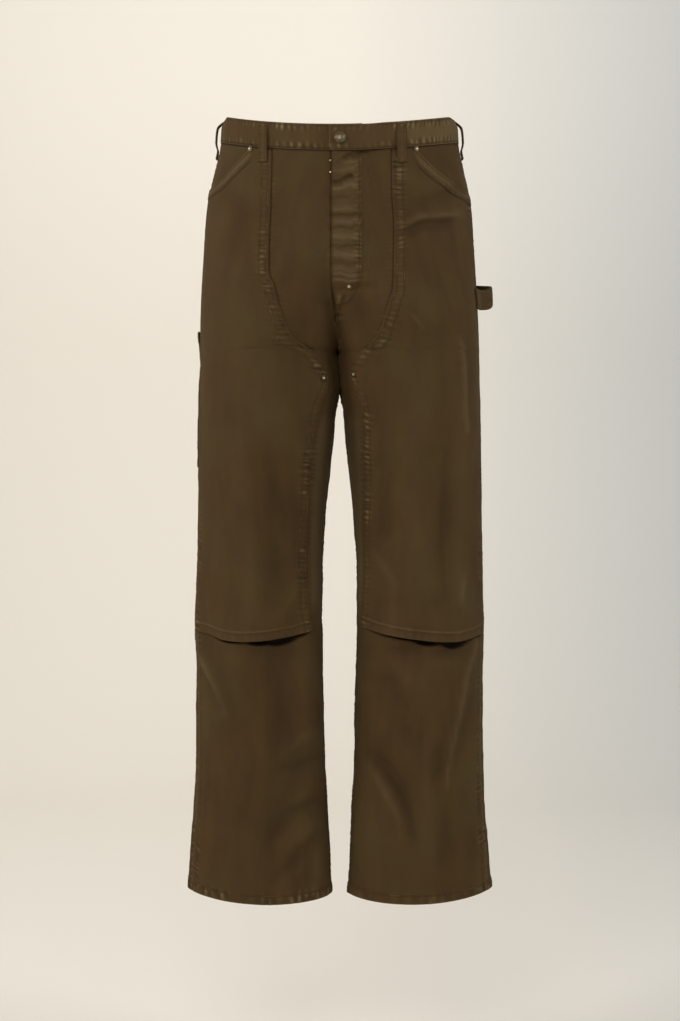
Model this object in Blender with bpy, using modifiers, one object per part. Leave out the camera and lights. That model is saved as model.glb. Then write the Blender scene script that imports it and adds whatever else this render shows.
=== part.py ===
"""Straight work trousers with a double front, filled out and empty.

Each half of the garment is a stack of rings. A ring is an oval from the side seam round the front or the
back to the centre seam, or to the inseam below the crotch. Every layer is made from the same rings, moved
out, so layers never cross. Lengths in the tables are millimetres; the meshes are metres.
+Z is up, the front faces -Y, the wearer's left is +X. The origin is the centre of the waist opening.
"""
import math

import bmesh
import bpy
import numpy as np
from mathutils import Vector

MM = 0.001

# Driving dimensions
CLOTH = 1.5
SEAM_GAP = 0.3
LAYER_GAP = 0.3
DOUBLE_FACE = LAYER_GAP + CLOTH
BAND_HEIGHT = 35.0
BAND_OUT = 1.0
BAND_IN = -2.0
CROTCH_DROP = 323.0
HEM_DROP = 1034.0
KNEE_HEM_DROP = 690.0
MOUTH_BAND = 13.0
HEM_TURN = 13.0
TURN_RAISE = 0.8
WAIST_DIP_FRONT = 32.0
WAIST_RISE_BACK = 20.0
WARP_POWER = 1.5
FLY_LEAN_DEPTH = 40.0
FLY_LEAN_POWER = 4
HEM_WARP_START = 900.0
HEM_DIP_FRONT = 8.0
HEM_DIP_INNER = 9.0
LOOP_WIDTH = 12.0
LOOP_CLOTH = 1.6
# Metal heads: diameter, height of the straight rim, height of the dome over it
BUTTON = (15.0, 1.2, 2.6)
RIVET = (8.0, 0.6, 1.2)
STUD = (4.2, 1.0, 1.1)
DOME_ANGLES = (0, 25, 50, 72, 90)
SHARP_ANGLE = 40.0
SEAT_STEP = 3.0

# Half width from the centre to the side seam, at drops below the waist edge
SIDE_HALF_WIDTH = (
    # drop, half width
    (0, 157.0), (39, 159.8), (69, 166.4), (101, 173.1), (134, 177.4), (182, 180.9), (247, 184.3),
    (312, 186.2), (377, 188.4), (441, 189.8), (539, 191.4), (636, 193.2), (668, 194.6), (700, 194.4),
    (733, 194.0), (863, 194.4), (927, 197.1), (992, 202.2), (1034, 205.3),
)
# The inner end of each half's ring: below the crotch half the gap between the legs, above it on the far side
INNER_REACH = (
    # drop, reach
    (0, -157.0), (39, -159.8), (100, -157), (180, -135), (231, -89), (270, -44), (300, -14), (315, -4.3),
    (323, 0.6), (363, 1.0), (377, 1.8), (393, 5.0), (425, 8.0), (474, 12.8), (539, 19.1), (603, 23.2),
    (668, 23.8), (733, 22.4), (798, 21.5), (863, 19.9), (927, 16.7), (992, 13.2), (1041, 10.5),
)
FRONT_DEPTH = (
    # drop, depth
    (0, 108), (150, 122), (250, 125), (323, 114), (431, 104), (575, 77), (690, 74), (860, 66), (1034, 59),
)
BACK_DEPTH = (
    # drop, depth
    (0, 113), (60, 120), (180, 145), (250, 140), (323, 121), (431, 104), (600, 84), (750, 76), (1034, 64),
)
OVAL_POWER = (
    # drop, power of the sine: under 1 is squarer, over 1 is more pinched at the seams
    (0, 0.92), (250, 0.92), (323, 0.95), (431, 1.0), (575, 1.05), (1034, 1.12),
)
# The fly leans to the wearer's right of the middle
FLY_SHIFT = (
    # drop, sideways shift of the centre front
    (0, -10.5), (215, -10.5), (250, -8.5), (281, -4.0), (315, 0.0), (340, 1.0), (1034, 0.5),
)

# Rows of the panels, as drops
PANEL_ROWS = (
    35.4, 52, 72, 94, 114, 136, 162, 190, 216, 238, 260, 280, 296, 308, 316, 323, 332, 346, 365, 390, 425,
    470, 520, 575, 630, 677, 690, 715, 750, 795, 845, 900, 950, 995, 1019, 1021, 1034,
)
SLANTED_ROWS = 5
KNEE_ROWS_REACH = 60.0
KNEE_ROWS_CUTOFF = 150.0
RING_STEPS = 96
# Columns of the double front, as shares of its width; the mouth's inner corner lies on MOUTH_COLUMN
DOUBLE_COLUMNS = (0.0, 0.12, 0.25, 0.38, 0.5, 0.62, 0.74, 0.755, 0.88, 1.0)
MOUTH_COLUMN = 6
INNER_COLUMNS = (0.25, 0.5, 0.75, 1.0)
# The side seam lies this share of the way round the front, and the back panel reaches round to it
SIDE_SEAM = 0.09
HALF_SEAM_SHARE = 0.0006
# Columns of the back panel: distances round from the widest line, then shares of the rest
SIDE_COLUMNS = (0.0, 20.0, 40.0, 60.0, 80.0, 100.0)
BACK_COLUMNS = (0.16, 0.33, 0.5, 0.67, 0.84, 1.0)

RIGHT = -1
LEFT = 1
FRONT = -1
BACK = 1

# Inner edge of the double front: share of the way from the side to the centre seam or the inseam
DOUBLE_EDGE = {
    RIGHT: (
        # drop, share
        (38, 0.635), (109, 0.665), (221, 0.685), (234, 0.708), (266, 0.718), (290, 0.713), (307, 0.705),
        (324, 0.695), (341, 0.753), (357, 0.805), (397, 0.758), (450, 0.738), (515, 0.758), (581, 0.785),
        (647, 0.80), (693, 0.823), (1034, 0.823),
    ),
    LEFT: (
        # drop, share
        (38, 0.638), (109, 0.665), (154, 0.667), (203, 0.682), (243, 0.70), (256, 0.72), (282, 0.743),
        (303, 0.745), (319, 0.740), (331, 0.763), (351, 0.84), (397, 0.755), (449, 0.77), (515, 0.807),
        (594, 0.853), (682, 0.895), (1034, 0.895),
    ),
}
# Pocket mouth: drop at each share of the double front's width
POCKET_MOUTH = {
    RIGHT: ((0.0, 99.0), (0.12, 95.0), (0.34, 83.0), (0.48, 67.0), (0.59, 54.0), (0.74, 36.6)),
    LEFT: ((0.0, 107.0), (0.207, 96.0), (0.345, 85.0), (0.482, 72.0), (0.62, 55.0), (0.74, 36.6)),
}
FACING_STEPS = (0.0, 0.34, 0.67)
FACING_LIP_ROW = 1.0
FACING_CUT_GAP = 0.5
# Lower edge of the double front: how far it hangs below its drop, by share of the width
KNEE_EDGE = {
    RIGHT: (
        (0.0, -6.0), (0.19, 1.0), (0.318, 8.0), (0.45, 10.0), (0.58, 9.0), (0.75, 5.0), (0.92, 2.0),
        (1.0, 3.0),
    ),
    LEFT: (
        (0.0, -5.0), (0.07, -2.0), (0.19, 5.0), (0.29, 10.0), (0.41, 10.0), (0.56, 7.0), (0.75, 1.0),
        (1.0, -8.0),
    ),
}
# Where the lower edge gapes: share of the width, how far it stands off, half width of the lobe in shares
KNEE_GAPE = {
    RIGHT: ((0.5, 3.0, 0.16), (0.76, 4.0, 0.15)),
    LEFT: ((0.38, 3.5, 0.15), (0.72, 4.0, 0.15)),
}
KNEE_GAPE_RISE = 42.0

# Folds are laid out on a half ring of this length, and die away towards the seams over this share
FOLD_GIRTH = 240.0
FOLD_SEAM_FADE = 0.12
FOLD_END_DEPTH = 0.55
# Largest folds: side, face, share and drop at both ends, half width, depth (in is negative)
FOLDS = (
    # side, face, share 1, drop 1, share 2, drop 2, half width, depth
    (RIGHT, FRONT, 0.10, 701, 0.30, 791, 13, 3.5),
    (RIGHT, FRONT, 0.20, 705, 0.42, 805, 15, -4.0),
    (RIGHT, FRONT, 0.62, 705, 0.60, 960, 26, -4.5),
    (RIGHT, FRONT, 0.80, 859, 0.59, 944, 14, -3.5),
    (LEFT, FRONT, 0.18, 713, 0.27, 804, 13, 3.5),
    (LEFT, FRONT, 0.27, 804, 0.36, 882, 13, 3.0),
    (LEFT, FRONT, 0.86, 844, 0.66, 902, 12, 3.5),
    (LEFT, FRONT, 0.66, 902, 0.56, 950, 12, 3.0),
    (LEFT, FRONT, 0.77, 838, 0.54, 915, 14, -4.0),
    (RIGHT, BACK, 0.35, 640, 0.75, 700, 22, -5.0),
    (LEFT, BACK, 0.30, 690, 0.70, 640, 22, -4.5),
    (RIGHT, BACK, 0.60, 780, 0.40, 940, 20, -4.0),
    (LEFT, BACK, 0.55, 760, 0.60, 930, 20, -4.5),
    (RIGHT, BACK, 0.45, 355, 0.80, 405, 20, -4.5),
    (LEFT, BACK, 0.45, 360, 0.82, 400, 20, -4.0),
)

# Tool pocket behind the side seam: its drops, and how far its mouth gapes
TOOL_POCKET_TOP = 287.0
TOOL_POCKET_BOTTOM = 470.0
TOOL_POCKET_GAPE = 3.4
TOOL_POCKET_GAPE_DROP = 48.0
TOOL_POCKET_GAPE_SHARE = 0.3
TOOL_POCKET_GAPE_LOSS = 0.7

# Waistband lap: places across the front of its two ends, and the ramp where the upper end comes down
LAP_TOP_END = -3.0
LAP_UNDER_END = 40.0
LAP_RAMP = (46.0, 72.0)
LAP_RAISE = 3.4
BAND_STEPS = 46
BAND_ROWS = (0.0, 0.11, 0.89, 1.0)

# Fly placket: its width, its drops, and the place of its edge across the front
FLY_WIDTH = 38.0
FLY_BOTTOM = 262.0
FLY_ROUND_START = 208.0
FLY_ROUND_END = 265.0
FLY_EDGE = 0.4
FLY_END_ROWS = (216, 228, 238, 247, 255)
FLY_COLUMNS = 5

# Belt loops: drop and lift of the inner face from the band's upper edge down to the cloth below it
FLAT_LOOP = (
    (1.0, 1.4), (6.0, 1.5), (12.0, 2.9), (20.0, 3.5), (29.0, 3.4), (38.0, 2.9), (46.0, 2.4), (55.0, 2.3),
)
SIDE_LOOP = (
    (1.0, 1.4), (5.0, 1.8), (9.0, 5.4), (13.0, 6.5), (24.0, 6.6), (32.0, 6.2), (38.0, 4.6), (44.0, 2.7),
    (55.0, 2.3),
)
FRONT_LOOP_PLACE = 90.0

# Hammer loop on the wearer's left: the strip's way round, from its front end to its back end
HAMMER_CLOTH = 2.4
HAMMER_WIDTH = 27.0
HAMMER_WAY = (
    # how far behind the widest line, lift off the cloth, drop of the strip's middle
    (-40.0, 2.5, 247.0), (-28.0, 2.4, 246.8), (-18.0, 3.2, 246.5), (-11.0, 7.0, 246.0), (-7.0, 13.0, 245.0),
    (-2.0, 18.0, 242.0), (7.0, 20.5, 238.5), (22.0, 20.5, 236.0), (40.0, 20.0, 233.5), (57.0, 18.0, 231.0),
    (70.0, 13.0, 228.5), (79.0, 7.0, 227.0), (86.0, 2.6, 226.0), (94.0, 0.8, 225.0), (106.0, 0.6, 224.5),
)

# Metal pieces: a place across the front, or a share of the way round a leg, and the drop
BUTTON_PLACE = (11.0, 17.5)
BUTTON_SIDES = 24
RIVET_SIDES = 12
STUD_PLACES = (("fly_stud_upper", -2.3, 50.0), ("fly_stud_lower", -2.3, 67.0))
POCKET_RIVET_PLACE = (104.5, 41.5)
FLY_RIVET_PLACE = (21.5, 238.0)
CROTCH_RIVET_PLACES = ((RIGHT, "crotch_rivet_right", 0.782, 357.0), (LEFT, "crotch_rivet_left", 0.817, 352.0))


def curve(points, at):
    """A smooth curve through a table's two columns that doesn't overshoot it."""
    xs = np.array([p[0] for p in points], float)
    ys = np.array([p[1] for p in points], float)
    at = np.clip(np.asarray(at, float), xs[0], xs[-1])
    step = np.diff(xs)
    slope = np.diff(ys) / step
    tangent = np.zeros_like(ys)
    tangent[0], tangent[-1] = slope[0], slope[-1]
    for i in range(1, len(xs) - 1):
        if slope[i - 1] * slope[i] > 0:
            before = 2 * step[i] + step[i - 1]
            after = step[i] + 2 * step[i - 1]
            tangent[i] = (before + after) / (before / slope[i - 1] + after / slope[i])
    k = np.clip(np.searchsorted(xs, at, side="right") - 1, 0, len(xs) - 2)
    t = (at - xs[k]) / step[k]
    return ((1 + 2 * t) * (1 - t) ** 2 * ys[k] + t * (1 - t) ** 2 * step[k] * tangent[k]
            + t * t * (3 - 2 * t) * ys[k + 1] + t * t * (t - 1) * step[k] * tangent[k + 1])


def fold_depth(side, face, share, drop):
    """How far the largest folds move the cloth in or out at a point."""
    total = np.zeros(np.broadcast(share, drop).shape)
    for row_side, row_face, u0, h0, u1, h1, half_width, depth in FOLDS:
        if row_side != side or row_face != face:
            continue
        dx, dy = (u1 - u0) * FOLD_GIRTH, h1 - h0
        px, py = (share - u0) * FOLD_GIRTH, drop - h0
        length = math.hypot(dx, dy)
        along = np.clip((px * dx + py * dy) / length ** 2, 0, 1)
        away = np.hypot(px - along * dx, py - along * dy)
        swell = FOLD_END_DEPTH + (1 - FOLD_END_DEPTH) * np.sin(math.pi * along)
        total = total + depth * swell * np.exp(-(away / half_width) ** 2)
    seam_fade = np.clip(share / FOLD_SEAM_FADE, 0, 1) * np.clip((1 - share) / FOLD_SEAM_FADE, 0, 1)
    return total * seam_fade


def fade(value, start, end):
    """0 before start, 1 after end, smooth between."""
    t = np.clip((value - start) / (end - start), 0, 1)
    return t * t * (3 - 2 * t)


def hang(x, y, drop, depth):
    """The last bend of every layer: the dipped waist, the curved hem and the fly's lean."""
    forward = np.maximum(-y / depth, 0) ** WARP_POWER
    rearward = np.maximum(y / depth, 0) ** WARP_POWER
    waist_fade = 0.5 * (1 + np.cos(math.pi * np.clip(drop / CROTCH_DROP, 0, 1)))
    down = waist_fade * (WAIST_DIP_FRONT * forward - WAIST_RISE_BACK * rearward)
    hem_fade = fade(drop, HEM_WARP_START, HEM_DROP)
    outer = curve(SIDE_HALF_WIDTH, drop)
    inward = np.clip(1 - np.abs(x) / outer, 0, 1)
    down = down + hem_fade * (HEM_DIP_FRONT * forward + HEM_DIP_INNER * inward)
    lean = curve(FLY_SHIFT, drop) * (1 - (1 - inward) ** FLY_LEAN_POWER) * fade(-y, 0, FLY_LEAN_DEPTH)
    return x + lean, y, -(drop + down)


def oval(side, face, drop):
    """Centre, half width, depth and power of a half's ring at a drop."""
    outer = curve(SIDE_HALF_WIDTH, drop)
    inner = curve(INNER_REACH, drop)
    depth = curve(FRONT_DEPTH if face == FRONT else BACK_DEPTH, drop)
    return (outer + inner) / 2, (outer - inner) / 2, depth, curve(OVAL_POWER, drop)


def end_angle(centre, half, depth, power, lift):
    """Angle at which a half's ring meets the centre seam or the inseam."""
    gap = SEAM_GAP / 2
    inseam = math.pi - np.arcsin((gap / (depth + lift)) ** (1 / power))
    reach = np.clip((gap - centre) / (half + lift), -1, 1)
    return np.minimum(np.arccos(reach), inseam)


def ring_runs(side, face, drop):
    """Distance round a ring, in millimetres, at even steps of its angle; the last is the whole ring."""
    centre, half, depth, power = oval(side, face, drop)
    theta = end_angle(centre, half, depth, power, 0.0)[..., None] * np.linspace(0, 1, RING_STEPS + 1)
    xs = half[..., None] * np.cos(theta)
    ys = depth[..., None] * np.sin(theta) ** power[..., None]
    steps = np.hypot(np.diff(xs), np.diff(ys))
    return np.concatenate([np.zeros(drop.shape + (1,)), np.cumsum(steps, axis=-1)], axis=-1)


def place(side, face, share, drop, lift=0.0):
    """World points in metres of a layer: share 0 is the widest line, 1 the centre seam or inseam."""
    share, drop, lift = np.broadcast_arrays(*(np.asarray(v, float) for v in (share, drop, lift)))
    centre, half, depth, power = oval(side, face, drop)
    lift = lift + fold_depth(side, face, share, drop)
    run = ring_runs(side, face, drop)
    run = run / run[..., -1:]
    k = np.clip((run <= share[..., None]).sum(axis=-1) - 1, 0, RING_STEPS - 1)[..., None]
    low = np.take_along_axis(run, k, -1)[..., 0]
    high = np.take_along_axis(run, k + 1, -1)[..., 0]
    turn = (k[..., 0] + (share - low) / (high - low)) / RING_STEPS
    theta = end_angle(centre, half, depth, power, lift) * np.clip(turn, 0, 1)
    x = centre + (half + lift) * np.cos(theta)
    y = face * (depth + lift) * np.sin(theta) ** power
    x, y, z = hang(side * x, y, drop, depth)
    return np.stack([x, y, z], axis=-1) * MM


def across(x_at, face, drop, lift=0.0):
    """World points of a layer at a sideways place, for strips that cross the centre."""
    x_at, drop, lift = np.broadcast_arrays(*(np.asarray(v, float) for v in (x_at, drop, lift)))
    centre, half, depth, power = oval(LEFT, face, drop)
    theta = np.arccos(np.clip((np.abs(x_at) - centre) / (half + lift), -1, 1))
    y = face * (depth + lift) * np.sin(theta) ** power
    x, y, z = hang(x_at, y, drop, depth)
    return np.stack([x, y, z], axis=-1) * MM


def around(angle, drop, lift=0.0):
    """World points near the waist at an angle: 0 is the wearer's left, -90 the front, 90 the back."""
    angle, drop, lift = np.broadcast_arrays(*(np.asarray(v, float) for v in (angle, drop, lift)))
    turn = np.radians(angle)
    half = curve(SIDE_HALF_WIDTH, drop) + lift
    ahead = np.sin(turn) < 0
    depth = np.where(ahead, curve(FRONT_DEPTH, drop), curve(BACK_DEPTH, drop))
    x = half * np.cos(turn)
    y = np.sign(np.sin(turn)) * (depth + lift) * np.abs(np.sin(turn)) ** curve(OVAL_POWER, drop)
    x, y, z = hang(x, y, drop, depth)
    return np.stack([x, y, z], axis=-1) * MM


def clear_scene():
    """Take away whatever the file starts with."""
    for old in list(bpy.data.objects):
        bpy.data.objects.remove(old, do_unlink=True)


def principled(name, colour, roughness, metallic=0.0):
    """A plain material from a linear colour."""
    material = bpy.data.materials.new(name)
    material.use_nodes = True
    shader = next(n for n in material.node_tree.nodes if n.type == "BSDF_PRINCIPLED")
    shader.inputs["Base Color"].default_value = (*colour, 1.0)
    shader.inputs["Roughness"].default_value = roughness
    shader.inputs["Metallic"].default_value = metallic
    return material


def add_object(name, points, triangles, material):
    """One closed body from points and triangles, faces turned outward."""
    mesh = bpy.data.meshes.new(name)
    mesh.from_pydata([tuple(p) for p in points], [], [tuple(t) for t in triangles])
    body = bmesh.new()
    body.from_mesh(mesh)
    bmesh.ops.recalc_face_normals(body, faces=body.faces)
    body.to_mesh(mesh)
    body.free()
    mesh.shade_smooth()
    mesh.set_sharp_from_angle(angle=math.radians(SHARP_ANGLE))
    mesh.materials.append(material)
    parts.objects.link(bpy.data.objects.new(name, mesh))


def close_shell(outer, inner, faces):
    """Points and triangles of a wall between two sheets that share their triangles."""
    count = len(outer)
    triangles = list(faces) + [(c + count, b + count, a + count) for a, b, c in faces]
    edges = {}
    for a, b, c in faces:
        for edge in ((a, b), (b, c), (c, a)):
            edges[edge] = True
    for a, b in edges:
        if (b, a) not in edges:
            triangles.append((b, a, a + count))
            triangles.append((b, a + count, b + count))
    return np.concatenate([outer, inner]), triangles


def grid_triangles(index):
    """Triangles of a grid of point numbers; a missing point is -1 and takes its corner away."""
    triangles = []
    rows, columns = index.shape
    for j in range(rows - 1):
        for i in range(columns - 1):
            a, b, c, d = index[j, i], index[j, i + 1], index[j + 1, i + 1], index[j + 1, i]
            for corner in ((a, b, c), (a, c, d)):
                if min(corner) >= 0 and len(set(corner)) == 3:
                    triangles.append(corner)
    return triangles


def wall(name, sheet, outer_lift, inner_lift, material):
    """A cloth wall over a grid: sheet(lift) gives the grid's points for a lift at each of them."""
    outer = sheet(outer_lift)
    inner = sheet(inner_lift)
    index = np.arange(outer.shape[0] * outer.shape[1]).reshape(outer.shape[:2])
    points, triangles = close_shell(outer.reshape(-1, 3), inner.reshape(-1, 3), grid_triangles(index))
    add_object(name, points, triangles, material)


def front_columns():
    """Column places: shares of the double front, then 1 + shares of the rest."""
    return np.array(DOUBLE_COLUMNS + tuple(1 + c for c in INNER_COLUMNS))


def front_share(side, column, drop):
    """Turn a column place and a drop into the share of the way round."""
    edge = curve(DOUBLE_EDGE[side], drop)
    seam = SIDE_SEAM + HALF_SEAM_SHARE
    return np.where(column <= 1, seam + column * (edge - seam), edge + (1 - edge) * (column - 1))


def place_back(side, share, drop, lift):
    """The back panel's layer: a share under 0 reaches round to the front."""
    ahead = place(side, FRONT, np.maximum(-share, 0), drop, lift)
    behind = place(side, BACK, np.maximum(share, 0), drop, lift)
    return np.where((share < 0)[..., None], ahead, behind)


def panel_top(side, column):
    """Drop of the front panel's upper edge, cut away under the pocket mouth."""
    top = PANEL_ROWS[0]
    cut = curve(POCKET_MOUTH[side], np.minimum(column, 1)) + MOUTH_BAND
    return np.where(column <= DOUBLE_COLUMNS[MOUTH_COLUMN], cut, top)


def front_grid(side):
    """Columns and drops of the front panel's grid, and the double front's over it."""
    column = front_columns()
    rows = np.array(PANEL_ROWS, float)
    top, last = rows[0], rows[SLANTED_ROWS]
    drop = np.repeat(rows[:, None], len(column), axis=1)
    start = panel_top(side, column)
    for j in range(SLANTED_ROWS):
        drop[j] = start + (last - start) * (rows[j] - top) / (last - top)
    bend = curve(KNEE_EDGE[side], np.minimum(column, 1))
    near = np.exp(-((rows - KNEE_HEM_DROP) / KNEE_ROWS_REACH) ** 2)
    near[np.abs(rows - KNEE_HEM_DROP) > KNEE_ROWS_CUTOFF] = 0
    drop = drop + near[:, None] * bend[None, :]
    return np.broadcast_to(column, drop.shape), drop


def hem_raise(drop):
    """How far the outer face stands out where the hem is turned up."""
    return np.where(drop > HEM_DROP - HEM_TURN - 1, TURN_RAISE, 0.0)


def front_panel(side, name, material):
    """The lower layer of the front, from the cut under the pocket mouth to the hem."""
    column, drop = front_grid(side)
    share = front_share(side, column, drop)
    wall(name, lambda lift: place(side, FRONT, share, drop, lift), hem_raise(drop), -CLOTH, material)


def back_shares(side, rows):
    """Shares of the back panel's columns behind the widest line, a row for each drop."""
    girth = ring_runs(side, BACK, rows)[:, -1:]
    beside = np.array(SIDE_COLUMNS) / girth
    behind = beside[:, -1:] + (1 - beside[:, -1:]) * np.array(BACK_COLUMNS)
    return np.concatenate([beside, behind], axis=1)


def back_panel(side, name, material):
    """The back, which reaches round the side to the front panel's seam."""
    rows = np.array(PANEL_ROWS, float)
    seam = SIDE_SEAM - HALF_SEAM_SHARE
    ahead = np.tile((-seam, -seam / 2), (len(rows), 1))
    share = np.concatenate([ahead, back_shares(side, rows)], axis=1)
    drop = np.broadcast_to(rows[:, None], share.shape)
    wall(name, lambda lift: place_back(side, share, drop, lift), hem_raise(drop), -CLOTH, material)


def pocket_facing(side, name, material):
    """The corner above the pocket mouth, ending just above the cut of the front panel."""
    column = np.array(DOUBLE_COLUMNS[:MOUTH_COLUMN + 1])
    top = PANEL_ROWS[0]
    lip = curve(POCKET_MOUTH[side], column)
    low = lip + MOUTH_BAND - FACING_CUT_GAP
    drop = np.stack([top + (lip - top) * step for step in FACING_STEPS] + [lip + FACING_LIP_ROW, low])
    drop[:, -1] = np.linspace(top, low[-1], len(drop))
    share = front_share(side, column, drop)
    wall(name, lambda lift: place(side, FRONT, share, drop, lift), 0.0, -CLOTH, material)


def knee_stand(side, column, drop):
    """How far the double front stands off near its lower edge."""
    total = np.zeros(np.broadcast(column, drop).shape)
    for at, height, half_width in KNEE_GAPE[side]:
        total = total + height * np.exp(-((column - at) / half_width) ** 2)
    return total * fade(drop, KNEE_HEM_DROP - KNEE_GAPE_RISE, KNEE_HEM_DROP)


def double_front(side, name, material):
    """The second layer: from the pocket mouth and the waist seam to its open edge below the knee."""
    column, drop = front_grid(side)
    edge_column = len(DOUBLE_COLUMNS) - 1
    last_row = PANEL_ROWS.index(KNEE_HEM_DROP)
    column = column[:last_row + 1, :edge_column + 1]
    drop = drop[:last_row + 1, :edge_column + 1]
    lip = np.full(edge_column + 1, PANEL_ROWS[0])
    lip[:MOUTH_COLUMN + 1] = curve(POCKET_MOUTH[side], column[0, :MOUTH_COLUMN + 1])
    column = np.concatenate([column[:1], column])
    drop = np.concatenate([lip[None], drop])
    share = front_share(side, column, drop)
    stand = knee_stand(side, column, drop)
    turned_in = np.zeros(drop.shape)
    turned_in[:2, :MOUTH_COLUMN + 1] = TURN_RAISE
    turned_in[-2:] = TURN_RAISE
    outer = place(side, FRONT, share, drop, DOUBLE_FACE + stand + turned_in)
    inner = place(side, FRONT, share, drop, LAYER_GAP + stand)
    used = np.ones(drop.shape, bool)
    used[0, MOUTH_COLUMN + 1:] = False
    index = np.full(drop.shape, -1)
    index[used] = np.arange(used.sum())
    index[0, MOUTH_COLUMN + 1] = index[1, MOUTH_COLUMN + 1]
    points, triangles = close_shell(outer[used], inner[used], grid_triangles(index))
    add_object(name, points, triangles, material)


def tool_pocket(side, name, material):
    """A patch behind the side seam whose upper edge gapes near the seam."""
    rows = [TOOL_POCKET_TOP] + [r for r in PANEL_ROWS if TOOL_POCKET_TOP < r <= TOOL_POCKET_BOTTOM]
    rows = np.array(rows, float)
    share = back_shares(side, rows)[:, :len(SIDE_COLUMNS)]
    drop = np.broadcast_to(rows[:, None], share.shape)
    stand = TOOL_POCKET_GAPE * (1 - fade(drop, TOOL_POCKET_TOP, TOOL_POCKET_TOP + TOOL_POCKET_GAPE_DROP))
    stand = stand * (1 - TOOL_POCKET_GAPE_LOSS * fade(share, 0, TOOL_POCKET_GAPE_SHARE))
    wall(name, lambda lift: place(side, BACK, share, drop, LAYER_GAP + stand + lift), CLOTH, 0.0, material)


def front_angle(x_at):
    """Angle round the waist of a place across the front."""
    return -math.degrees(math.acos(x_at / SIDE_HALF_WIDTH[0][1]))


def waistband(name, material):
    """One strip: the wearer's left end lies over the right end at the front."""
    first = front_angle(LAP_TOP_END)
    last = front_angle(LAP_UNDER_END) + 360
    ramp = [front_angle(x) for x in LAP_RAMP]
    angles = np.linspace(first, last, BAND_STEPS + 1)
    raised = LAP_RAISE * (1 - fade(angles, *ramp))
    rows = np.array(BAND_ROWS) * BAND_HEIGHT
    drop, angle = np.meshgrid(rows, angles, indexing="ij")
    stand = np.broadcast_to(raised, drop.shape)
    wall(name, lambda lift: around(angle, drop, lift + stand), BAND_OUT, BAND_IN, material)


def fly_placket(name, material):
    """The fly's upper layer on the wearer's left front, with a rounded lower end."""
    rows = [r for r in PANEL_ROWS if r <= FLY_ROUND_START] + [*FLY_END_ROWS, FLY_BOTTOM]
    rows = np.array(rows, float)
    bend = np.clip((rows - FLY_ROUND_START) / (FLY_ROUND_END - FLY_ROUND_START), 0, 1)
    width = FLY_WIDTH * np.sqrt(1 - bend ** 2)
    drop, part = np.meshgrid(rows, np.linspace(0, 1, FLY_COLUMNS), indexing="ij")
    x_at = FLY_EDGE + width[:, None] * part
    wall(name, lambda lift: across(x_at, FRONT, drop, LAYER_GAP + lift), CLOTH, 0.0, material)


def loop_strip(name, sheet, path, material):
    """A strip over the waistband: sheet(drop, lift) gives its points across at each row."""
    drop = np.array([row[0] for row in path])[:, None]
    lift = np.array([row[1] for row in path])[:, None]
    wall(name, lambda out: sheet(drop, lift + out), LOOP_CLOTH, 0.0, material)


def crossing_loop(name, x_at, face, material):
    """A belt loop on the front or the back, centred at a place across."""
    steps = x_at + LOOP_WIDTH * np.array((-0.5, 0.0, 0.5))
    loop_strip(name, lambda drop, lift: across(steps, face, drop, lift), FLAT_LOOP, material)


def side_loop(name, side, material):
    """A belt loop over the side seam, standing off the band."""
    half_angle = math.degrees((LOOP_WIDTH / 2 / FRONT_DEPTH[0][1]) ** (1 / OVAL_POWER[0][1]))
    middle = 0.0 if side == LEFT else 180.0
    steps = middle + half_angle * np.array((-1.0, 0.0, 1.0))
    loop_strip(name, lambda drop, lift: around(steps, drop, lift), SIDE_LOOP, material)


def hammer_point(behind, lift, drop):
    """A point off the side: behind is measured back from the side seam."""
    face = FRONT if behind < 0 else BACK
    centre, half, depth, power = oval(LEFT, face, np.array(drop, float))
    theta = math.asin(min(1.0, (abs(behind) / depth)) ** (1 / power))
    x = centre + half * math.cos(theta)
    y = face * depth * math.sin(theta) ** power
    normal = np.array((math.cos(theta) / half, face * math.sin(theta) / depth))
    normal = normal / np.hypot(*normal)
    x, y = x + lift * normal[0], y + lift * normal[1]
    x, y, z = hang(np.array(x), np.array(y), np.array(drop, float), depth)
    return np.array((x, y, z)) * MM


def hammer_loop(name, material):
    """A strip on edge that stands off the side seam and is sewn down at both ends."""
    across_strip = HAMMER_WIDTH * np.array((-0.5, 0.0, 0.5))

    def sheet(out):
        return np.array([[hammer_point(behind, lift + out, drop + w) for w in across_strip]
                         for behind, lift, drop in HAMMER_WAY])

    wall(name, sheet, HAMMER_CLOTH, 0.0, material)


def turned(name, profile, material, steps):
    """A turned metal piece: a profile of (radius, height) pairs turned round its own axis."""
    mesh = bpy.data.meshes.new(name)
    points = [(r * MM, 0.0, z * MM) for r, z in profile]
    mesh.from_pydata(points, [(i, i + 1) for i in range(len(points) - 1)], [])
    thing = bpy.data.objects.new(name, mesh)
    parts.objects.link(thing)
    screw = thing.modifiers.new("Turn", "SCREW")
    screw.axis = "Z"
    screw.steps = steps
    screw.render_steps = steps
    screw.use_merge_vertices = True
    screw.merge_threshold = 0.00001
    screw.use_smooth_shade = True
    mesh.materials.append(material)
    return thing


def seat(thing, sheet, across_step, lift):
    """Stand a turned piece on the cloth: sheet(i, j, lift) moves i across and j down from its place."""
    point = sheet(0, 0, lift)
    right = sheet(across_step, 0, lift) - sheet(-across_step, 0, lift)
    down = sheet(0, SEAT_STEP, lift) - sheet(0, -SEAT_STEP, lift)
    outward = Vector(np.cross(down, right))
    if outward.y > 0:
        outward = -outward
    thing.location = point
    thing.rotation_mode = "QUATERNION"
    thing.rotation_quaternion = Vector((0, 0, 1)).rotation_difference(outward.normalized())


def seat_on_front(thing, x_at, drop, lift):
    """Stand a turned piece on the front between waist and crotch."""
    seat(thing, lambda i, j, out: across(x_at + i, FRONT, drop + j, out), SEAT_STEP, lift)


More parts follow.
